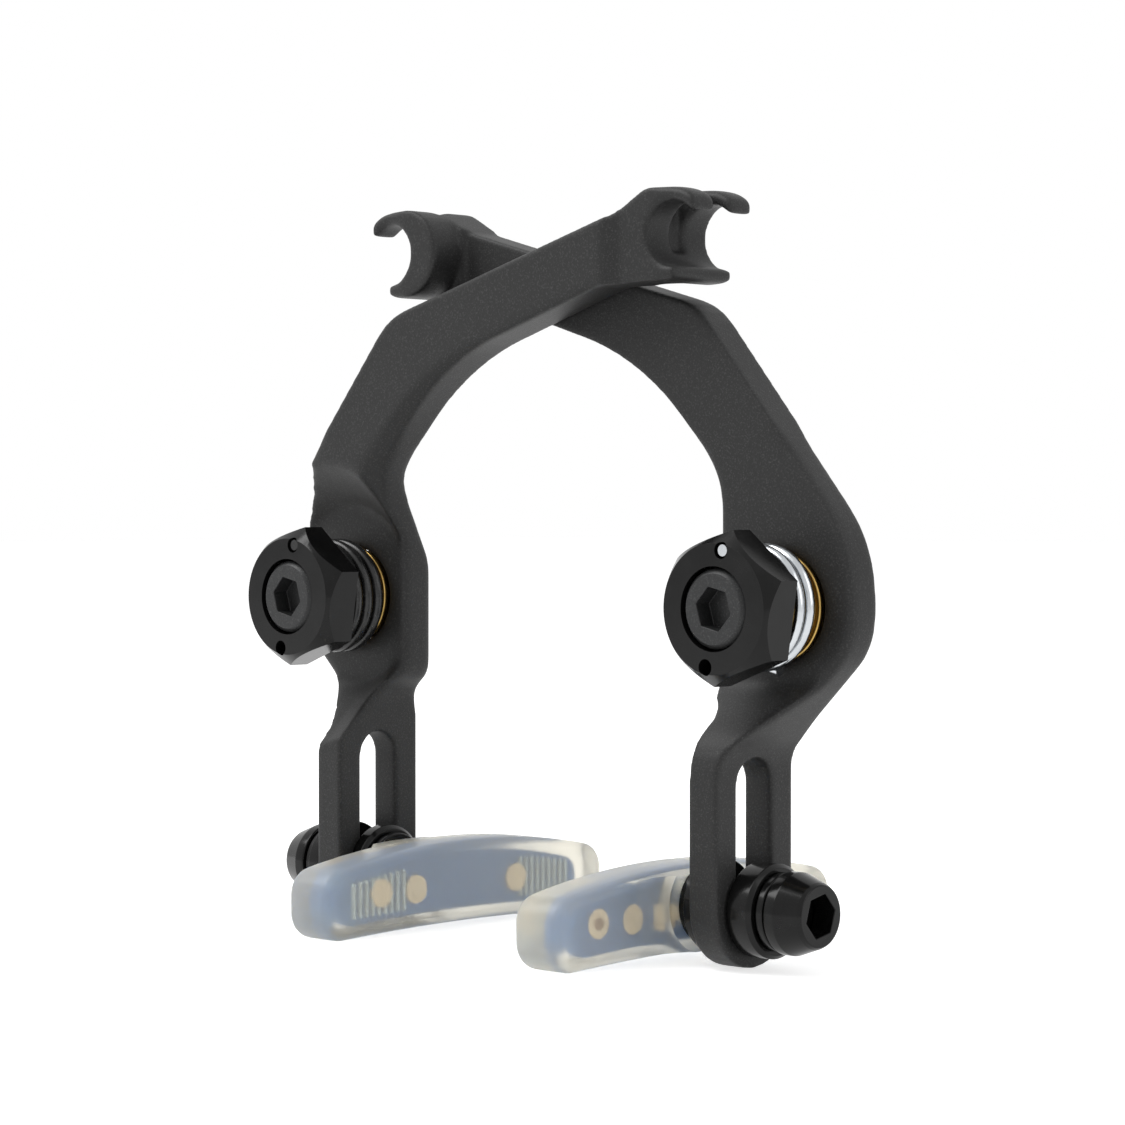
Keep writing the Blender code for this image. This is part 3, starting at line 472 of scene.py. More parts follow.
def make_smudge_group():
    """Handling marks on smooth metal: faint smears in gloss and tone, from Object coordinates."""
    group, source, sink = new_group(
        "handled_surface",
        [
            ("Colour", "NodeSocketColor", (0.02, 0.02, 0.02, 1)),
            ("Worn Colour", "NodeSocketColor", (0.06, 0.06, 0.06, 1)),
            ("Scale", "NodeSocketFloat", 260.0),
            ("Roughness", "NodeSocketFloat", 0.2),
            ("Roughness Spread", "NodeSocketFloat", 0.12),
            ("Grain Height", "NodeSocketFloat", 0.05),
        ],
        [
            ("Colour", "NodeSocketColor"),
            ("Roughness", "NodeSocketFloat"),
            ("Normal", "NodeSocketVector"),
        ],
    )
    nodes = group.nodes
    links = group.links
    coords = nodes.new("ShaderNodeTexCoord")
    place = coords.outputs["Object"]
    smear = add_noise(nodes, links, place, source.outputs["Scale"], *SMEAR_NOISE)
    fine = nodes.new("ShaderNodeTexNoise")
    fine.inputs["Scale"].default_value = FINE_SCALE
    fine.inputs["Detail"].default_value = FINE_DETAIL
    links.new(place, fine.inputs["Vector"])
    ramp = nodes.new("ShaderNodeValToRGB")
    ramp.color_ramp.elements[0].position = SMEAR_RANGE[0]
    ramp.color_ramp.elements[1].position = SMEAR_RANGE[1]
    links.new(smear.outputs["Fac"], ramp.inputs["Fac"])
    mix = nodes.new("ShaderNodeMix")
    mix.data_type = "RGBA"
    links.new(ramp.outputs["Color"], mix.inputs["Factor"])
    links.new(source.outputs["Colour"], mix.inputs["A"])
    links.new(source.outputs["Worn Colour"], mix.inputs["B"])
    links.new(mix.outputs["Result"], sink.inputs["Colour"])
    rough = nodes.new("ShaderNodeMath")
    rough.operation = "MULTIPLY_ADD"
    links.new(smear.outputs["Fac"], rough.inputs[0])
    links.new(source.outputs["Roughness Spread"], rough.inputs[1])
    links.new(source.outputs["Roughness"], rough.inputs[2])
    links.new(rough.outputs["Value"], sink.inputs["Roughness"])
    bump = nodes.new("ShaderNodeBump")
    bump.inputs["Distance"].default_value = FINE_BUMP_M
    links.new(source.outputs["Grain Height"], bump.inputs["Strength"])
    links.new(fine.outputs["Fac"], bump.inputs["Height"])
    links.new(bump.outputs["Normal"], sink.inputs["Normal"])
    return group


BLASTED = make_blast_group()
HANDLED = make_smudge_group()


# Finishes

def grouped_finish(name, group, values, metallic=0.0, specular=0.5):
    """A Principled finish whose colour, roughness and normal come from a shader group."""
    finish = bpy.data.materials.new(name)
    finish.use_nodes = True
    tree = finish.node_tree
    shader = tree.nodes["Principled BSDF"]
    shader.inputs["Metallic"].default_value = metallic
    shader.inputs["Specular IOR Level"].default_value = specular
    node = tree.nodes.new("ShaderNodeGroup")
    node.node_tree = group
    for label, value in values.items():
        node.inputs[label].default_value = value
    tree.links.new(node.outputs["Colour"], shader.inputs["Base Color"])
    tree.links.new(node.outputs["Roughness"], shader.inputs["Roughness"])
    tree.links.new(node.outputs["Normal"], shader.inputs["Normal"])
    return finish


def grey(level, warm=0.0):
    return (level * (1 + warm), level, level * (1 - warm), 1.0)


def anodised_black():
    return grouped_finish(
        "anodised_black",
        BLASTED,
        {
            "Colour": grey(0.022),
            "Fleck Colour": grey(0.065),
            "Grain Scale": 4200.0,
            "Blotch Scale": 60.0,
            "Roughness": 0.42,
            "Grain Height": 0.7,
        },
        specular=0.25,
    )


def gloss_black():
    return grouped_finish(
        "gloss_black",
        HANDLED,
        {
            "Colour": grey(0.004),
            "Worn Colour": grey(0.010),
            "Roughness": 0.10,
            "Roughness Spread": 0.14,
            "Grain Height": 0.04,
        },
        specular=0.2,
    )


def dark_phosphate():
    return grouped_finish(
        "dark_phosphate",
        BLASTED,
        {
            "Colour": grey(0.030, -0.02),
            "Fleck Colour": grey(0.08),
            "Grain Scale": 5200.0,
            "Blotch Scale": 240.0,
            "Roughness": 0.34,
            "Grain Height": 0.3,
        },
        metallic=0.3,
        specular=0.3,
    )


def turned_brass():
    return grouped_finish(
        "turned_brass",
        HANDLED,
        {
            "Colour": (0.44, 0.29, 0.09, 1),
            "Worn Colour": (0.32, 0.20, 0.06, 1),
            "Roughness": 0.18,
            "Roughness Spread": 0.25,
            "Grain Height": 0.12,
        },
        metallic=1.0,
    )


def bright_zinc():
    return grouped_finish(
        "bright_zinc",
        HANDLED,
        {
            "Colour": (0.52, 0.54, 0.56, 1),
            "Worn Colour": (0.40, 0.42, 0.44, 1),
            "Roughness": 0.12,
            "Roughness Spread": 0.18,
            "Grain Height": 0.08,
        },
        metallic=1.0,
    )


def black_wire():
    return grouped_finish(
        "black_wire",
        HANDLED,
        {
            "Colour": grey(0.010),
            "Worn Colour": grey(0.03),
            "Roughness": 0.16,
            "Roughness Spread": 0.2,
            "Grain Height": 0.06,
        },
        specular=0.4,
    )


def insert_blue():
    return grouped_finish(
        "insert_blue",
        HANDLED,
        {
            "Colour": (0.02, 0.13, 0.38, 1),
            "Worn Colour": (0.06, 0.20, 0.44, 1),
            "Roughness": 0.42,
            "Roughness Spread": 0.2,
            "Grain Height": 0.1,
        },
    )


def insert_rib_pale():
    return grouped_finish(
        "insert_rib_pale",
        HANDLED,
        {
            "Colour": (0.42, 0.54, 0.62, 1),
            "Worn Colour": (0.55, 0.62, 0.66, 1),
            "Scale": 700.0,
            "Roughness": 0.4,
            "Roughness Spread": 0.2,
            "Grain Height": 0.1,
        },
    )


def insert_plug_cream():
    return grouped_finish(
        "insert_plug_cream",
        HANDLED,
        {
            "Colour": (0.80, 0.68, 0.50, 1),
            "Worn Colour": (0.66, 0.50, 0.34, 1),
            "Scale": 700.0,
            "Roughness": 0.45,
            "Roughness Spread": 0.2,
            "Grain Height": 0.1,
        },
    )


def plug_core_brown():
    return grouped_finish(
        "plug_core_brown",
        HANDLED,
        {
            "Colour": (0.30, 0.17, 0.08, 1),
            "Worn Colour": (0.20, 0.11, 0.05, 1),
            "Scale": 900.0,
            "Roughness": 0.5,
            "Roughness Spread": 0.2,
            "Grain Height": 0.1,
        },
    )


def clear_rubber():
    """Clear moulded rubber with a faint cream cast and uneven haze."""
    finish = grouped_finish(
        "clear_rubber",
        HANDLED,
        {
            "Colour": (0.93, 0.90, 0.80, 1),
            "Worn Colour": (0.89, 0.85, 0.73, 1),
            "Scale": 45.0,
            "Roughness": 0.28,
            "Roughness Spread": 0.10,
            "Grain Height": 0.0,
        },
        specular=0.5,
    )
    shader = finish.node_tree.nodes["Principled BSDF"]
    shader.inputs["Transmission Weight"].default_value = 0.7
    shader.inputs["IOR"].default_value = 1.33
    return finish


# Sizes read from the CAD nodes, in millimetres

def pivot_sizes(label):
    """Axis, face and back of one pivot's hardware."""
    nut_low, nut_high = node_box_mm(label + "_adjuster_nut")
    bush_low, bush_high = node_box_mm(label + "_pivot_bushing")
    bolt_high = node_box_mm(label + "_mounting_bolt")[1]
    return {
        "x": (bush_low.x + bush_high.x) / 2,
        "nut_face": -nut_low.y,
        "nut_back": -nut_high.y,
        "bush_front": -bush_low.y,
        "bush_back": -bush_high.y,
        "bolt_back": -bolt_high.y,
    }


STUD_LOW, STUD_HIGH = node_box_mm("left_pad_stud")
STUD_Y = (STUD_LOW.y + STUD_HIGH.y) / 2
STUD_Z = (STUD_LOW.z + STUD_HIGH.z) / 2
STUD_LINE = (0, STUD_Y, STUD_Z)
PAD_BACK = node_box_mm("right_pad_carrier")[1].x + CARRIER_BACK


# Brake arms

def edge_cutter(name, path, y, widths):
    """A diamond-section bar along an outline at one depth, which bevels the edge it runs on."""
    shape = bmesh.new()
    rings = []
    for index, point in enumerate(path):
        before = path[max(index - 1, 0)]
        after = path[min(index + 1, len(path) - 1)]
        along = (after - before).normalized()
        across = Vector((-along.y, along.x))
        middle = Vector((point.x, y, point.y))
        flat = Vector((across.x, 0, across.y)) * widths[index]
        deep = Vector((0, widths[index], 0))
        corners = (middle + flat, middle + deep, middle - flat, middle - deep)
        rings.append([shape.verts.new(corner * MM) for corner in corners])
    for ring, following in zip(rings, rings[1:]):
        for side in range(4):
            turn = (side + 1) % 4
            shape.faces.new((ring[side], ring[turn], following[turn], following[side]))
    shape.faces.new(rings[0])
    shape.faces.new(rings[-1])
    return new_object(name, shape)


def inner_edge_path():
    """The front arm's inner edge from its foot at the boss up to the crossing."""
    return soften(INNER_EDGE, INNER_EDGE_STEP_DEG)[1:]


def blend_runouts(arm, side):
    """Extra softening where the arm runs into its boss and at the tips of its hook."""
    zone = arm.vertex_groups.new(name="runouts")
    for vertex in arm.data.vertices:
        height = vertex.co.z / MM
        reach = -side * vertex.co.x / MM
        beyond_boss = max(BLEND_LOW - height, height - BLEND_HIGH)
        beyond = max(0, min(beyond_boss, BLEND_LIP - reach))
        if beyond < BLEND_FADE:
            zone.add([vertex.index], 1 - beyond / BLEND_FADE, "REPLACE")
    soft = arm.modifiers.new("soft_runouts", "SMOOTH")
    soft.factor = SMOOTHING_FACTOR
    soft.iterations = BLEND_SMOOTHING
    soft.vertex_group = zone.name
    bake_modifiers(arm)
    arm.vertex_groups.clear()


def brake_arm(label, finish):
    """A forged arm: the CAD arm with its edges softened all over."""
    cad = NODES[label + "_arm"]
    shape = bmesh.new()
    shape.from_mesh(cad.data)
    arm = new_object(label + "_forged_arm", shape)
    if label == "left":
        path = inner_edge_path()
        count = len(path) - 1
        spread = INNER_BEVEL_MM - INNER_BEVEL_END_MM
        widths = [INNER_BEVEL_END_MM + spread * (1 - step / count) for step in range(count + 1)]
        combine(arm, edge_cutter("inner_bevel", path, FRONT_BEAM_Y, widths))
    cells = arm.modifiers.new("forging", "REMESH")
    cells.mode = "VOXEL"
    cells.voxel_size = ARM_CELL_MM * MM
    soft = arm.modifiers.new("soft_edges", "SMOOTH")
    soft.factor = SMOOTHING_FACTOR
    soft.iterations = ARM_SMOOTHING
    bake_modifiers(arm)
    blend_runouts(arm, SIDES[label])
    arm.data.shade_smooth()
    return settle(arm, label + "_arm", label + "_arm", finish)


# Pivot hardware

def pivot_bushing(label, sizes, finish):
    """Flanged brass sleeve round the frame's boss."""
    corners = [
        (BUSHING_BORE_R, sizes["bush_front"], BUSHING_EDGE_R),
        (BUSHING_R, sizes["bush_front"], BUSHING_EDGE_R),
        (BUSHING_R, FLANGE_FRONT, FLANGE_ROOT_R),
        (BUSHING_R + FLANGE_LIP, FLANGE_FRONT, FLANGE_EDGE_R),
        (BUSHING_R + FLANGE_LIP, FLANGE_FRONT - FLANGE_T, FLANGE_EDGE_R),
        (BUSHING_R, FLANGE_FRONT - FLANGE_T, 0),
        (BUSHING_R, sizes["bush_back"], BUSHING_EDGE_R),
        (BUSHING_BORE_R, sizes["bush_back"], BUSHING_EDGE_R),
    ]
    bushing = lathe(label + "_brass_bushing", (sizes["x"], 0, 0), (0, -1, 0), corners)
    shade(bushing)
    return settle(bushing, label + "_arm", label + "_pivot_bushing", finish)


def coil_place(sizes, angle):
    return sizes["x"] + COIL_R * math.cos(angle), COIL_R * math.sin(angle)


def adjuster_nut(label, sizes, finish):
    """Hexagon nut with a turned chamfer, a bolt seat and two spring holes."""
    pivot = (sizes["x"], 0, 0)
    face = sizes["nut_face"]
    back = sizes["nut_back"]
    face_r = NUT_AF / 2 - NUT_FACE_INSET
    corner_r = hex_radius(NUT_AF)
    slope = NUT_CHAMFER / (corner_r - face_r)
    edge_r = corner_r + CUT_MARGIN_MM
    corners = [
        (BOLT_SEAT_R, face, 0),
        (face_r, face, 0),
        (edge_r, face - slope * (edge_r - face_r), 0),
        (edge_r, back - CUT_MARGIN_MM, 0),
        (SHANK_HOLE_R, back - CUT_MARGIN_MM, 0),
        (SHANK_HOLE_R, face - BOLT_HEAD_T - GAP, 0),
        (BOLT_SEAT_R, face - BOLT_HEAD_T - GAP, 0),
    ]
    nut = lathe(label + "_hex_adjuster", pivot, (0, -1, 0), corners)
    front = -face - CUT_MARGIN_MM
    inward = (0, 1, 0)
    hexagon = prism("hexagon", pivot, inward, front, -back, corner_r, HEX_SIDES, NUT_CORNER_DEG)
    combine(nut, hexagon, "INTERSECT")
    for turn in (0, 180):
        x, z = coil_place(sizes, math.radians(LEG_HOLE_DEG + turn))
        behind = -back + CUT_MARGIN_MM
        hole = prism("leg_hole", (x, 0, z), inward, front, behind, LEG_HOLE_R, HOLE_STEPS)
        combine(nut, hole)
    round_edges(nut, NUT_EDGE_W)
    return settle(nut, label + "_adjuster", label + "_adjuster_nut", finish)


def mounting_bolt(label, sizes, finish):
    """Flat-headed bolt with a hexagon socket."""
    pivot = (sizes["x"], 0, 0)
    face = sizes["nut_face"]
    corners = [
        (0, face, 0),
        (BOLT_HEAD_R - BOLT_HEAD_CHAMFER, face, BOLT_EDGE_R),
        (BOLT_HEAD_R, face - BOLT_HEAD_CHAMFER, BOLT_EDGE_R),
        (BOLT_HEAD_R, face - BOLT_HEAD_T, BOLT_EDGE_R),
        (BOLT_R, face - BOLT_HEAD_T, BOLT_EDGE_R),
        (BOLT_R, sizes["bolt_back"], BOLT_END_R),
        (0, sizes["bolt_back"], 0),
    ]
    bolt = lathe(label + "_flat_head_bolt", pivot, (0, -1, 0), corners, on_axis=True)
    radius = hex_radius(BOLT_SOCKET_AF)
    front = -face - CUT_MARGIN_MM
    floor = -face + BOLT_SOCKET_DEPTH
    inward = (0, 1, 0)
    socket = prism("socket", pivot, inward, front, floor, radius, HEX_SIDES, BOLT_SOCKET_DEG)
    combine(bolt, socket)
    round_edges(bolt, BOLT_EDGE_W)
    return settle(bolt, "frame_bolts", label + "_mounting_bolt", finish)


def spring_route(label, sizes):
    """Wire points: straight leg in the nut, bend, coil, and a straight tail by the flange."""
    side = SIDES[label]
    start = math.radians(LEG_HOLE_DEG)
    coil_front = -sizes["nut_back"] + GAP + WIRE_D / 2
    coil_back = -FLANGE_FRONT - GAP - WIRE_D / 2
    leg_x, leg_z = coil_place(sizes, start)
    leg = Vector((leg_x, 0, leg_z))
    along = Vector((-math.sin(start), 0, math.cos(start))) * side
    route = [leg + Vector((0, -sizes["nut_face"] + GAP, 0))]
    for step in range(LEG_BEND_POINTS):
        angle = math.pi / 2 * step / LEG_BEND_POINTS
        sideways = along * (LEG_BEND_R * (1 - math.cos(angle)))
        deep = coil_front - LEG_BEND_R * (1 - math.sin(angle))
        route.append(leg + sideways + Vector((0, deep, 0)))
    first = start + side * LEG_BEND_R / COIL_R
    turns = (coil_back - coil_front) / COIL_PITCH
    count = math.ceil(turns * COIL_POINTS)
    for step in range(count + 1):
        angle = first + side * math.tau * turns * step / count
        x, z = coil_place(sizes, angle)
        route.append(Vector((x, coil_front + (coil_back - coil_front) * step / count, z)))
    tangent = Vector((-math.sin(angle), 0, math.cos(angle))) * side
    route.append(route[-1] + tangent * SPRING_TAIL)
    return route


def return_spring(label, sizes, slot, finish):
    """The wound wire as one unbroken round tube."""
    curve = bpy.data.curves.new(label + "_wire", "CURVE")
    curve.dimensions = "3D"
    curve.bevel_depth = WIRE_D / 2 * MM
    curve.bevel_resolution = WIRE_ROUND_STEPS
    curve.use_fill_caps = True
    route = spring_route(label, sizes)
    spline = curve.splines.new("POLY")
    spline.points.add(len(route) - 1)
    for point, place in zip(spline.points, route):
        point.co = (*(place * MM), 1.0)
    drawn = bpy.data.objects.new("wire", curve)
    bpy.context.scene.collection.objects.link(drawn)
    graph = bpy.context.evaluated_depsgraph_get()
    shape = bmesh.new()
    shape.from_mesh(bpy.data.meshes.new_from_object(drawn.evaluated_get(graph)))
    bpy.data.objects.remove(drawn)
    spring = new_object(label + "_wound_wire", shape)
    shade(spring, WIRE_SHARP_DEG)
    return settle(spring, label + "_adjuster", label + "_spring", finish)


# Pad hardware

def sphere_drop(radius):
    """How far the washers' shared sphere falls away from its height at the bore."""
    at_bore = math.sqrt(DOME_SPHERE_R ** 2 - STUD_BORE_R ** 2)
    return at_bore - math.sqrt(DOME_SPHERE_R ** 2 - radius ** 2)


def sphere_radii():
    span = DOME_R - STUD_BORE_R
    return [STUD_BORE_R + span * step / SPHERE_STEPS for step in range(SPHERE_STEPS + 1)]


def washer(label, piece, outward, crown, finish):
    """A turned washer between its CAD node's two faces, domed or hollowed towards its crown."""
    node = label + "_" + piece
    low, high = node_box_mm(node)
    side = SIDES[label]
    thick = high.x - low.x
    axis = (side * outward, 0, 0)
    base_x = low.x if axis[0] > 0 else high.x
    if crown == "dome":
        arc = [(radius, thick - sphere_drop(radius), 0) for radius in sphere_radii()]
        corners = arc + [(DOME_R, 0, DOME_FOOT_R), (STUD_BORE_R, 0, BORE_EDGE_R)]
    else:
        hollow = thick - sphere_drop(DOME_R)
        arc = [(radius, hollow + sphere_drop(radius), 0) for radius in sphere_radii()]
        corners = arc + [
            (DOME_R + CUP_LIP, thick, CUP_LIP_R),
            (CUP_R, thick - CUP_LIP, CUP_EDGE_R),
            (CUP_R, 0, CUP_FOOT_R),
            (STUD_BORE_R, 0, BORE_EDGE_R),
        ]
    ring = lathe(node + "_ring", (base_x, STUD_Y, STUD_Z), axis, corners)
    shade(ring)
    return settle(ring, label + "_pad_clamp", node, finish)


def pad_nut(label, finish):
    """Low conical nut with a hexagon socket in its nose."""
    node = label + "_pad_nut"
    low, high = node_box_mm(node)
    side = SIDES[label]
    thick = high.x - low.x
    base_x = low.x if side > 0 else high.x
    place = (base_x, STUD_Y, STUD_Z)
    socket_floor = thick - PAD_SOCKET_DEPTH
    socket_r = hex_radius(PAD_SOCKET_AF)
    corners = [
        (0, thick, 0),
        (NUT_NOSE_R - NUT_NOSE_INSET, thick, NUT_NOSE_TIP_R),
        (NUT_NOSE_R, thick - NUT_NOSE_FALL, NUT_NOSE_EDGE_R),
        (PAD_NUT_R, NUT_LAND, PAD_NUT_LAND_R),
        (PAD_NUT_R, 0, PAD_NUT_FOOT_R),
        (0, 0, 0),
    ]
    axis = (side, 0, 0)
    nut = lathe(label + "_cone_nut", place, axis, corners, on_axis=True)
    thread = prism("thread", place, axis, -CUT_MARGIN_MM, socket_floor, STUD_BORE_R, HOLE_STEPS)
    combine(nut, thread)
    low_end = socket_floor - PAD_SOCKET_OVERLAP
    high_end = thick + CUT_MARGIN_MM
    socket = prism("socket", place, axis, low_end, high_end, socket_r, HEX_SIDES, PAD_SOCKET_DEG)
    combine(nut, socket)
    round_edges(nut, PAD_NUT_EDGE_W)
    return settle(nut, label + "_pad_clamp", node, finish)


def pad_stud(label, finish):
    """Threaded stud with a thinner root inside the pad."""
    node = label + "_pad_stud"
    low, high = node_box_mm(node)
    side = SIDES[label]
    root_x = min(abs(low.x), abs(high.x))
    end_x = max(abs(low.x), abs(high.x))
    shoulder = PAD_BACK - CARRIER_BACK + GAP
    root_r = STUD_R - THREAD_DEPTH
    corners = [(0, end_x, 0), (root_r, end_x, 0), (STUD_R, end_x - THREAD_DEPTH, 0)]
    crest = end_x - THREAD_PITCH
    while crest > shoulder + 2 * THREAD_PITCH:
        corners.append((STUD_R, crest, 0))
        corners.append((root_r, crest - THREAD_PITCH / 2, 0))
        crest -= THREAD_PITCH
    corners += [
        (STUD_R, shoulder, STUD_SHOULDER_R),
        (STUD_ROOT_R, shoulder, 0),
        (STUD_ROOT_R, root_x, 0),
        (0, root_x, 0),
    ]
    stud = lathe(label + "_threaded_stud", STUD_LINE, (side, 0, 0), corners, on_axis=True)
    shade(stud)
    return settle(stud, label + "_pad", node, finish)


# Pads

def pad_outline(pad, inset_end, inset, end_r):
    """A brake block seen from the side: its two long edges are arcs over the wheel's rim."""
    half = pad["half"] - inset_end
    corners = []
    for step in range(PAD_ARC_STEPS + 1):
        share = 2 * step / PAD_ARC_STEPS - 1
        radius = end_r if abs(share) == 1 else 0
        low = pad["low"] + inset - PAD_BOTTOM_RISE * share ** 2
        corners.append((pad["y"] + half * share, low, radius))
    for step in range(PAD_ARC_STEPS + 1):
        share = 1 - 2 * step / PAD_ARC_STEPS
        radius = end_r if abs(share) == 1 else 0
        high = pad["high"] - inset - PAD_TOP_RISE * share ** 2
        corners.append((pad["y"] + half * share, high, radius))
    return soften(corners)


def pad_sizes(label):
    low, high = node_box_mm(label + "_pad_rubber")
    return {
        "y": (low.y + high.y) / 2,
        "half": (high.y - low.y) / 2,
        "low": low.z + PAD_BOTTOM_RISE,
        "high": high.z,
    }


def drawn_in(points, inset):
    """A closed outline moved inwards by one distance."""
    count = len(points)
    moved = []
    for index, point in enumerate(points):
        along = (points[(index + 1) % count] - points[index - 1]).normalized()
        moved.append(point + Vector((-along.y, along.x)) * inset)
    return moved


def pad_slab(name, points, low_x, high_x, edge_r):
    """A solid of a side outline between two X values, with its edges rounded, in mm."""
    clean = []
    for index, point in enumerate(points):
        if (point - points[index - 1]).length > POINT_GAP_MM:
            clean.append(point)
    rings = []
    for step in range(PAD_EDGE_STEPS + 1):
        angle = math.pi / 2 * step / PAD_EDGE_STEPS
        rings.append((low_x + edge_r * (1 - math.sin(angle)), edge_r * (1 - math.cos(angle))))
    rings.reverse()
    rings += [(low_x + high_x - x, inset) for x, inset in reversed(rings)]
    shape = bmesh.new()
    loops = []
    for x, inset in rings:
        outline = drawn_in(clean, inset)
        loops.append([shape.verts.new((x * MM, point.x * MM, point.y * MM)) for point in outline])
    for loop, following in zip(loops, loops[1:]):
        for index in range(len(loop)):
            turn = index - 1
            shape.faces.new((loop[turn], loop[index], following[index], following[turn]))
    shape.faces.new(loops[0])
    shape.faces.new(loops[-1])
    return new_object(name, shape)


def pad_boss(label, pad, top):
    """The flared rise on the block's back, drawn with a hollow curve up to the washers."""
    side = SIDES[label]
    foot = PAD_BACK - CARRIER_BACK / 2
    flare = []
    for step in range(PAD_BOSS_STEPS + 1):
        share = step / PAD_BOSS_STEPS
        radius = PAD_BOSS_R + (PAD_BOSS_FOOT_R - PAD_BOSS_R) * (1 - share) ** PAD_BOSS_CURVE
        flare.append((radius, foot + (top - foot) * share, 0))
    corners = [(0, top, 0)] + flare[::-1] + [(0, foot, 0)]
    boss = lathe("boss", STUD_LINE, (side, 0, 0), corners, on_axis=True)
    ends = sorted((side * (foot - CUT_MARGIN_MM), side * (top + CUT_MARGIN_MM)))
    outline = pad_outline(pad, PAD_BOSS_INSET, PAD_BOSS_INSET, PAD_END_R)
    limit = pad_slab("boss_limit", outline, ends[0], ends[1], PAD_BOSS_EDGE_R)
    return combine(boss, limit, "INTERSECT")


def pad_rubber(label, pad, finish):
    """The clear moulded block with well rounded edges and a hole for the stud."""
    node = label + "_pad_rubber"
    low, high = node_box_mm(node)
    outline = pad_outline(pad, 0, 0, PAD_END_R)
    side = SIDES[label]
    top = max(abs(low.x), abs(high.x))
    face = min(abs(low.x), abs(high.x))
    ends = sorted((side * face, side * PAD_BACK))
    block = pad_slab(label + "_clear_block", outline, ends[0], ends[1], PAD_EDGE_R)
    combine(block, pad_boss(label, pad, top), "UNION")
    floor = PAD_BACK - CARRIER_BACK
    mouth = top + CUT_MARGIN_MM
    hole = prism("stud_hole", STUD_LINE, (side, 0, 0), floor, mouth, STUD_BORE_R, HOLE_STEPS)
    combine(block, hole)
    shade(block, PAD_SHARP_DEG)
    return settle(block, label + "_pad", node, finish)


def insert_places(label, pad):
    """Where one insert lies across the wheel, and the height of its plugs, in millimetres."""
    low, high = node_box_mm(label + "_pad_carrier")
    side = SIDES[label]
    return {
        "low": low.x,
        "high": high.x,
        "rim": low.x if side > 0 else high.x,
        "back": high.x if side > 0 else low.x,
        "middle": (pad["low"] + pad["high"]) / 2 - INSERT_MIDDLE_DROP,
    }


def insert_plate(label, pad, insert, finish):
    """The stiff blue plate, with a hole for the stud's root and one for each plug."""
    outline = pad_outline(pad, INSERT_END, INSERT_WALL, INSERT_END_R)
    plate = pad_slab(label + "_insert_plate", outline, insert["low"], insert["high"], INSERT_EDGE_R)
    root_low = abs(insert["rim"]) + ROOT_FLOOR
    root_high = root_low + PAD_BACK
    root_r = STUD_ROOT_R + GAP
    outward = (SIDES[label], 0, 0)
    combine(plate, prism("root_hole", STUD_LINE, outward, root_low, root_high, root_r, HOLE_STEPS))
    hole_low = insert["low"] - CUT_MARGIN_MM
    hole_high = insert["high"] + CUT_MARGIN_MM
    for place in PLUG_PLACES[label]:
        centre = (0, pad["y"] + place, insert["middle"])
        hole = prism("plug_hole", centre, (1, 0, 0), hole_low, hole_high, PLUG_R, HOLE_STEPS)
        combine(plate, hole)
    shade(plate, PAD_SHARP_DEG)
    return settle(plate, label + "_pad", label + "_pad_carrier", finish)


def insert_plugs(label, pad, insert, finish):
    """The plugs through the plate and the tab on its back, as one piece."""
    side = SIDES[label]
    plug_low = insert["low"] - (PLUG_PROUD if side > 0 else PLUG_BACK_PROUD)
    plug_high = insert["high"] + (PLUG_PROUD if side < 0 else PLUG_BACK_PROUD)
    plugs = bmesh.new()
    for place in PLUG_PLACES[label]:
        centre = (0, pad["y"] + place, insert["middle"])
        plug = prism("plug", centre, (1, 0, 0), plug_low, plug_high, PLUG_R, HOLE_STEPS)
        plugs.from_mesh(plug.data)
        bpy.data.objects.remove(plug)
    tab_centre = Vector((insert["back"], pad["y"] + TAB_PLACE, insert["middle"]))
    tab_place = Matrix.LocRotScale(tab_centre * MM, None, Vector(TAB_SIZE) * MM)
    bmesh.ops.create_cube(plugs, size=1.0, matrix=tab_place)
    plug_set = new_object(label + "_insert_plugs", plugs)
    shade(plug_set)
    return settle(plug_set, label + "_pad", None, finish)


def plug_core(label, pad, insert, finish):
    """The dark core of the foremost plug, on the plate's back."""
    centre = (insert["back"], pad["y"] + PLUG_PLACES[label][0], insert["middle"])
    outward = (SIDES[label], 0, 0)
    core = prism(label + "_plug_core", centre, outward, 0, PLUG_CORE_PROUD, PLUG_CORE_R, HOLE_STEPS)
    shade(core)
    return settle(core, label + "_pad", None, finish)


def insert_ribs(label, pad, insert, finish):
    """A comb of thin ribs at each end of the plate's rim side, as one piece."""
    combs = bmesh.new()
    for end in (-1, 1):
        for count in range(RIB_COUNT):
            reach = pad["half"] - INSERT_END - RIB_END_GAP - RIB_PITCH * count
            share = reach / pad["half"]
            base = pad["low"] + INSERT_WALL + RIB_FOOT_GAP - PAD_BOTTOM_RISE * share ** 2
            top = pad["high"] - INSERT_WALL - RIB_TOP_GAP - PAD_TOP_RISE * share ** 2
            centre = Vector((insert["rim"], pad["y"] + end * reach, (base + top) / 2))
            size = Vector((2 * RIB_PROUD, RIB_T, top - base))
            place = Matrix.LocRotScale(centre * MM, None, size * MM)
            bmesh.ops.create_cube(combs, size=1.0, matrix=place)
    rib_set = new_object(label + "_insert_ribs", combs)
    return settle(rib_set, label + "_pad", None, finish)


# Stage

def camera_back():
    azimuth = math.radians(CAMERA_AZIMUTH_DEG)
    rise = math.radians(CAMERA_ELEVATION_DEG)
    level = math.cos(rise)
    return Vector((math.sin(azimuth) * level, -math.cos(azimuth) * level, math.sin(rise)))


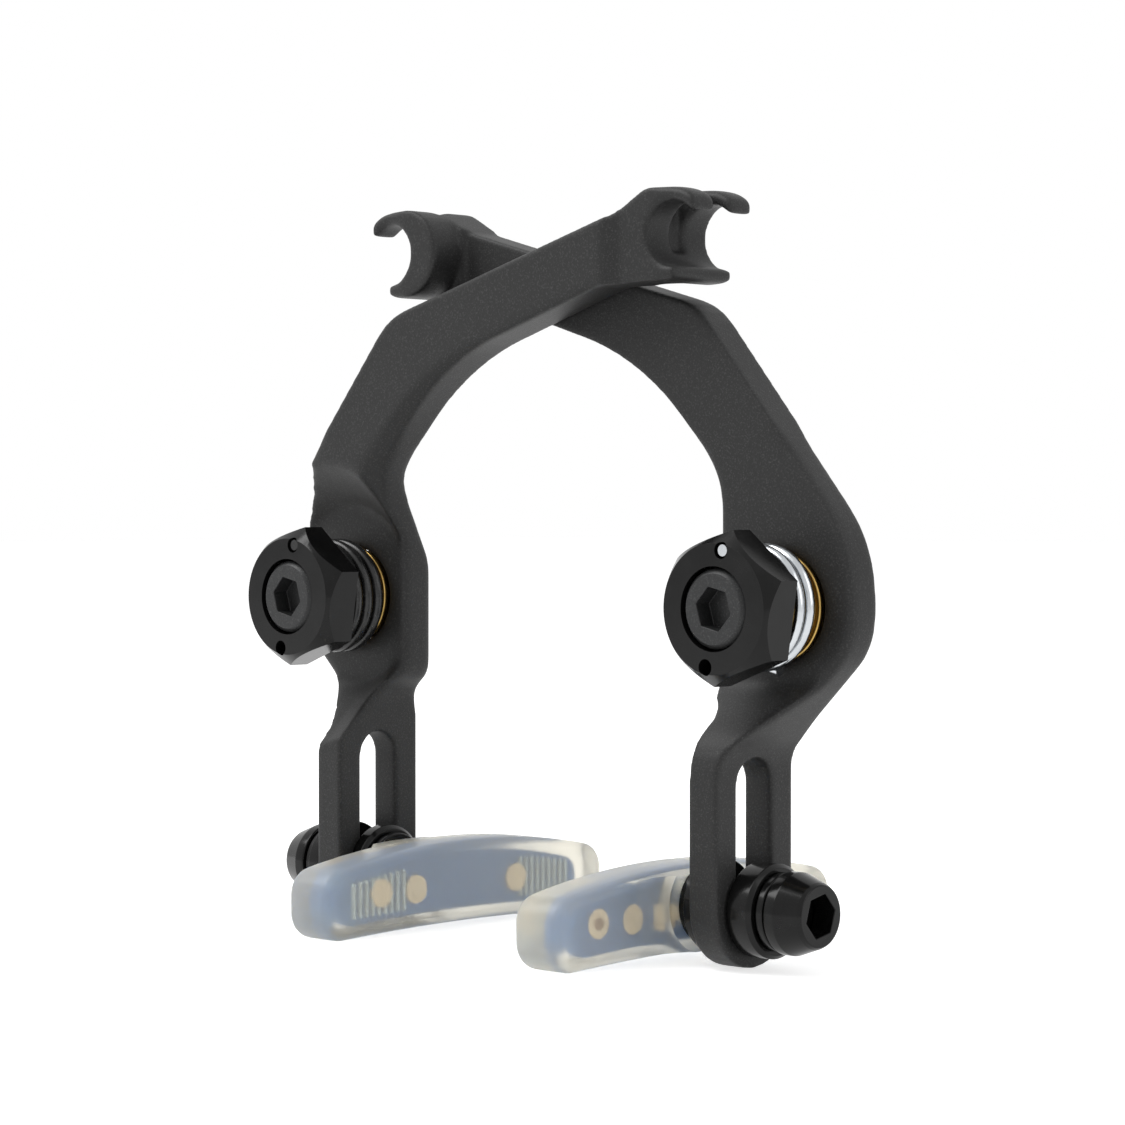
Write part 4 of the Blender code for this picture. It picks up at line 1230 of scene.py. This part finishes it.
def place_camera():
    data = bpy.data.cameras.new("photo_camera")
    data.lens = CAMERA_LENS_MM
    data.sensor_width = SENSOR_MM
    camera = bpy.data.objects.new("photo_camera", data)
    camera.location = Vector(CAMERA_PLACE_MM) * MM
    camera.rotation_euler = (-camera_back()).to_track_quat("-Z", "Y").to_euler()
    bpy.context.scene.collection.objects.link(camera)
    bpy.context.scene.camera = camera


def seen_white(tree):
    """One for the camera, mirror and see-through rays, nought for the light on the object."""
    path = tree.nodes.new("ShaderNodeLightPath")
    seen = path.outputs["Is Camera Ray"]
    for ray in ("Is Glossy Ray", "Is Transmission Ray"):
        either = tree.nodes.new("ShaderNodeMath")
        either.operation = "MAXIMUM"
        tree.links.new(seen, either.inputs[0])
        tree.links.new(path.outputs[ray], either.inputs[1])
        seen = either.outputs["Value"]
    return seen


def lay_floor():
    """A pale floor that shows white and keeps the soft shadow under the pads and legs."""
    shape = bmesh.new()
    bmesh.ops.create_grid(shape, x_segments=1, y_segments=1, size=FLOOR_SIZE_M)
    bmesh.ops.translate(shape, verts=shape.verts, vec=(0, 0, CAD_LOW[2] - FLOOR_DROP_MM * MM))
    floor = new_object("pale_floor", shape)
    finish = bpy.data.materials.new("pale_floor")
    finish.use_nodes = True
    tree = finish.node_tree
    shader = tree.nodes["Principled BSDF"]
    shader.inputs["Base Color"].default_value = FLOOR_COLOUR
    shader.inputs["Roughness"].default_value = FLOOR_ROUGHNESS
    shader.inputs["Specular IOR Level"].default_value = FLOOR_SPECULAR
    shader.inputs["Emission Color"].default_value = WHITE
    scale = tree.nodes.new("ShaderNodeMath")
    scale.operation = "MULTIPLY"
    scale.inputs[1].default_value = FLOOR_GLOW
    tree.links.new(seen_white(tree), scale.inputs[0])
    tree.links.new(scale.outputs["Value"], shader.inputs["Emission Strength"])
    floor.data.materials.append(finish)


def light_world():
    """White behind the object, with a softer fill on it."""
    world = bpy.data.worlds.new("studio")
    bpy.context.scene.world = world
    world.use_nodes = True
    tree = world.node_tree
    background = tree.nodes["Background"]
    background.inputs["Color"].default_value = WHITE
    strength = tree.nodes.new("ShaderNodeMapRange")
    strength.inputs["To Min"].default_value = WORLD_FILL
    strength.inputs["To Max"].default_value = 1.0
    tree.links.new(seen_white(tree), strength.inputs["Value"])
    tree.links.new(strength.outputs["Result"], background.inputs["Strength"])


def hang_lamp(name, place, size, power):
    """A large soft lamp aimed at the caliper's middle."""
    data = bpy.data.lights.new(name, "AREA")
    data.shape = "RECTANGLE"
    data.size = size[0]
    data.size_y = size[1]
    data.energy = power
    lamp = bpy.data.objects.new(name, data)
    lamp.location = place
    lamp.rotation_euler = (-Vector(place)).to_track_quat("-Z", "Y").to_euler()
    bpy.context.scene.collection.objects.link(lamp)


def dress_caliper():
    """Every piece of both sides."""
    arm_finish = anodised_black()
    black = gloss_black()
    phosphate = dark_phosphate()
    brass = turned_brass()
    rubber = clear_rubber()
    blue = insert_blue()
    cream = insert_plug_cream()
    brown = plug_core_brown()
    pale = insert_rib_pale()
    wires = {"left": ("spring_black", black_wire()), "right": ("spring_zinc", bright_zinc())}
    for label in SIDES:
        sizes = pivot_sizes(label)
        brake_arm(label, arm_finish)
        pivot_bushing(label, sizes, brass)
        adjuster_nut(label, sizes, black)
        mounting_bolt(label, sizes, phosphate)
        return_spring(label, sizes, *wires[label])
        washer(label, "inner_dome_washer", 1, "dome", black)
        washer(label, "inner_cup_washer", -1, "cup", black)
        washer(label, "outer_cup_washer", 1, "cup", black)
        washer(label, "outer_dome_washer", -1, "dome", black)
        pad_nut(label, black)
        pad_stud(label, black)
        pad = pad_sizes(label)
        pad_rubber(label, pad, rubber)
        insert = insert_places(label, pad)
        insert_plate(label, pad, insert, blue)
        insert_plugs(label, pad, insert, cream)
        plug_core(label, pad, insert, brown)
        insert_ribs(label, pad, insert, pale)


bpy.context.scene.view_settings.view_transform = "Standard"
dress_caliper()
place_camera()
lay_floor()
light_world()
hang_lamp("key_lamp", KEY_LAMP_PLACE_M, KEY_LAMP_SIZE_M, KEY_LAMP_W)
hang_lamp("side_lamp", SIDE_LAMP_PLACE_M, SIDE_LAMP_SIZE_M, SIDE_LAMP_W)
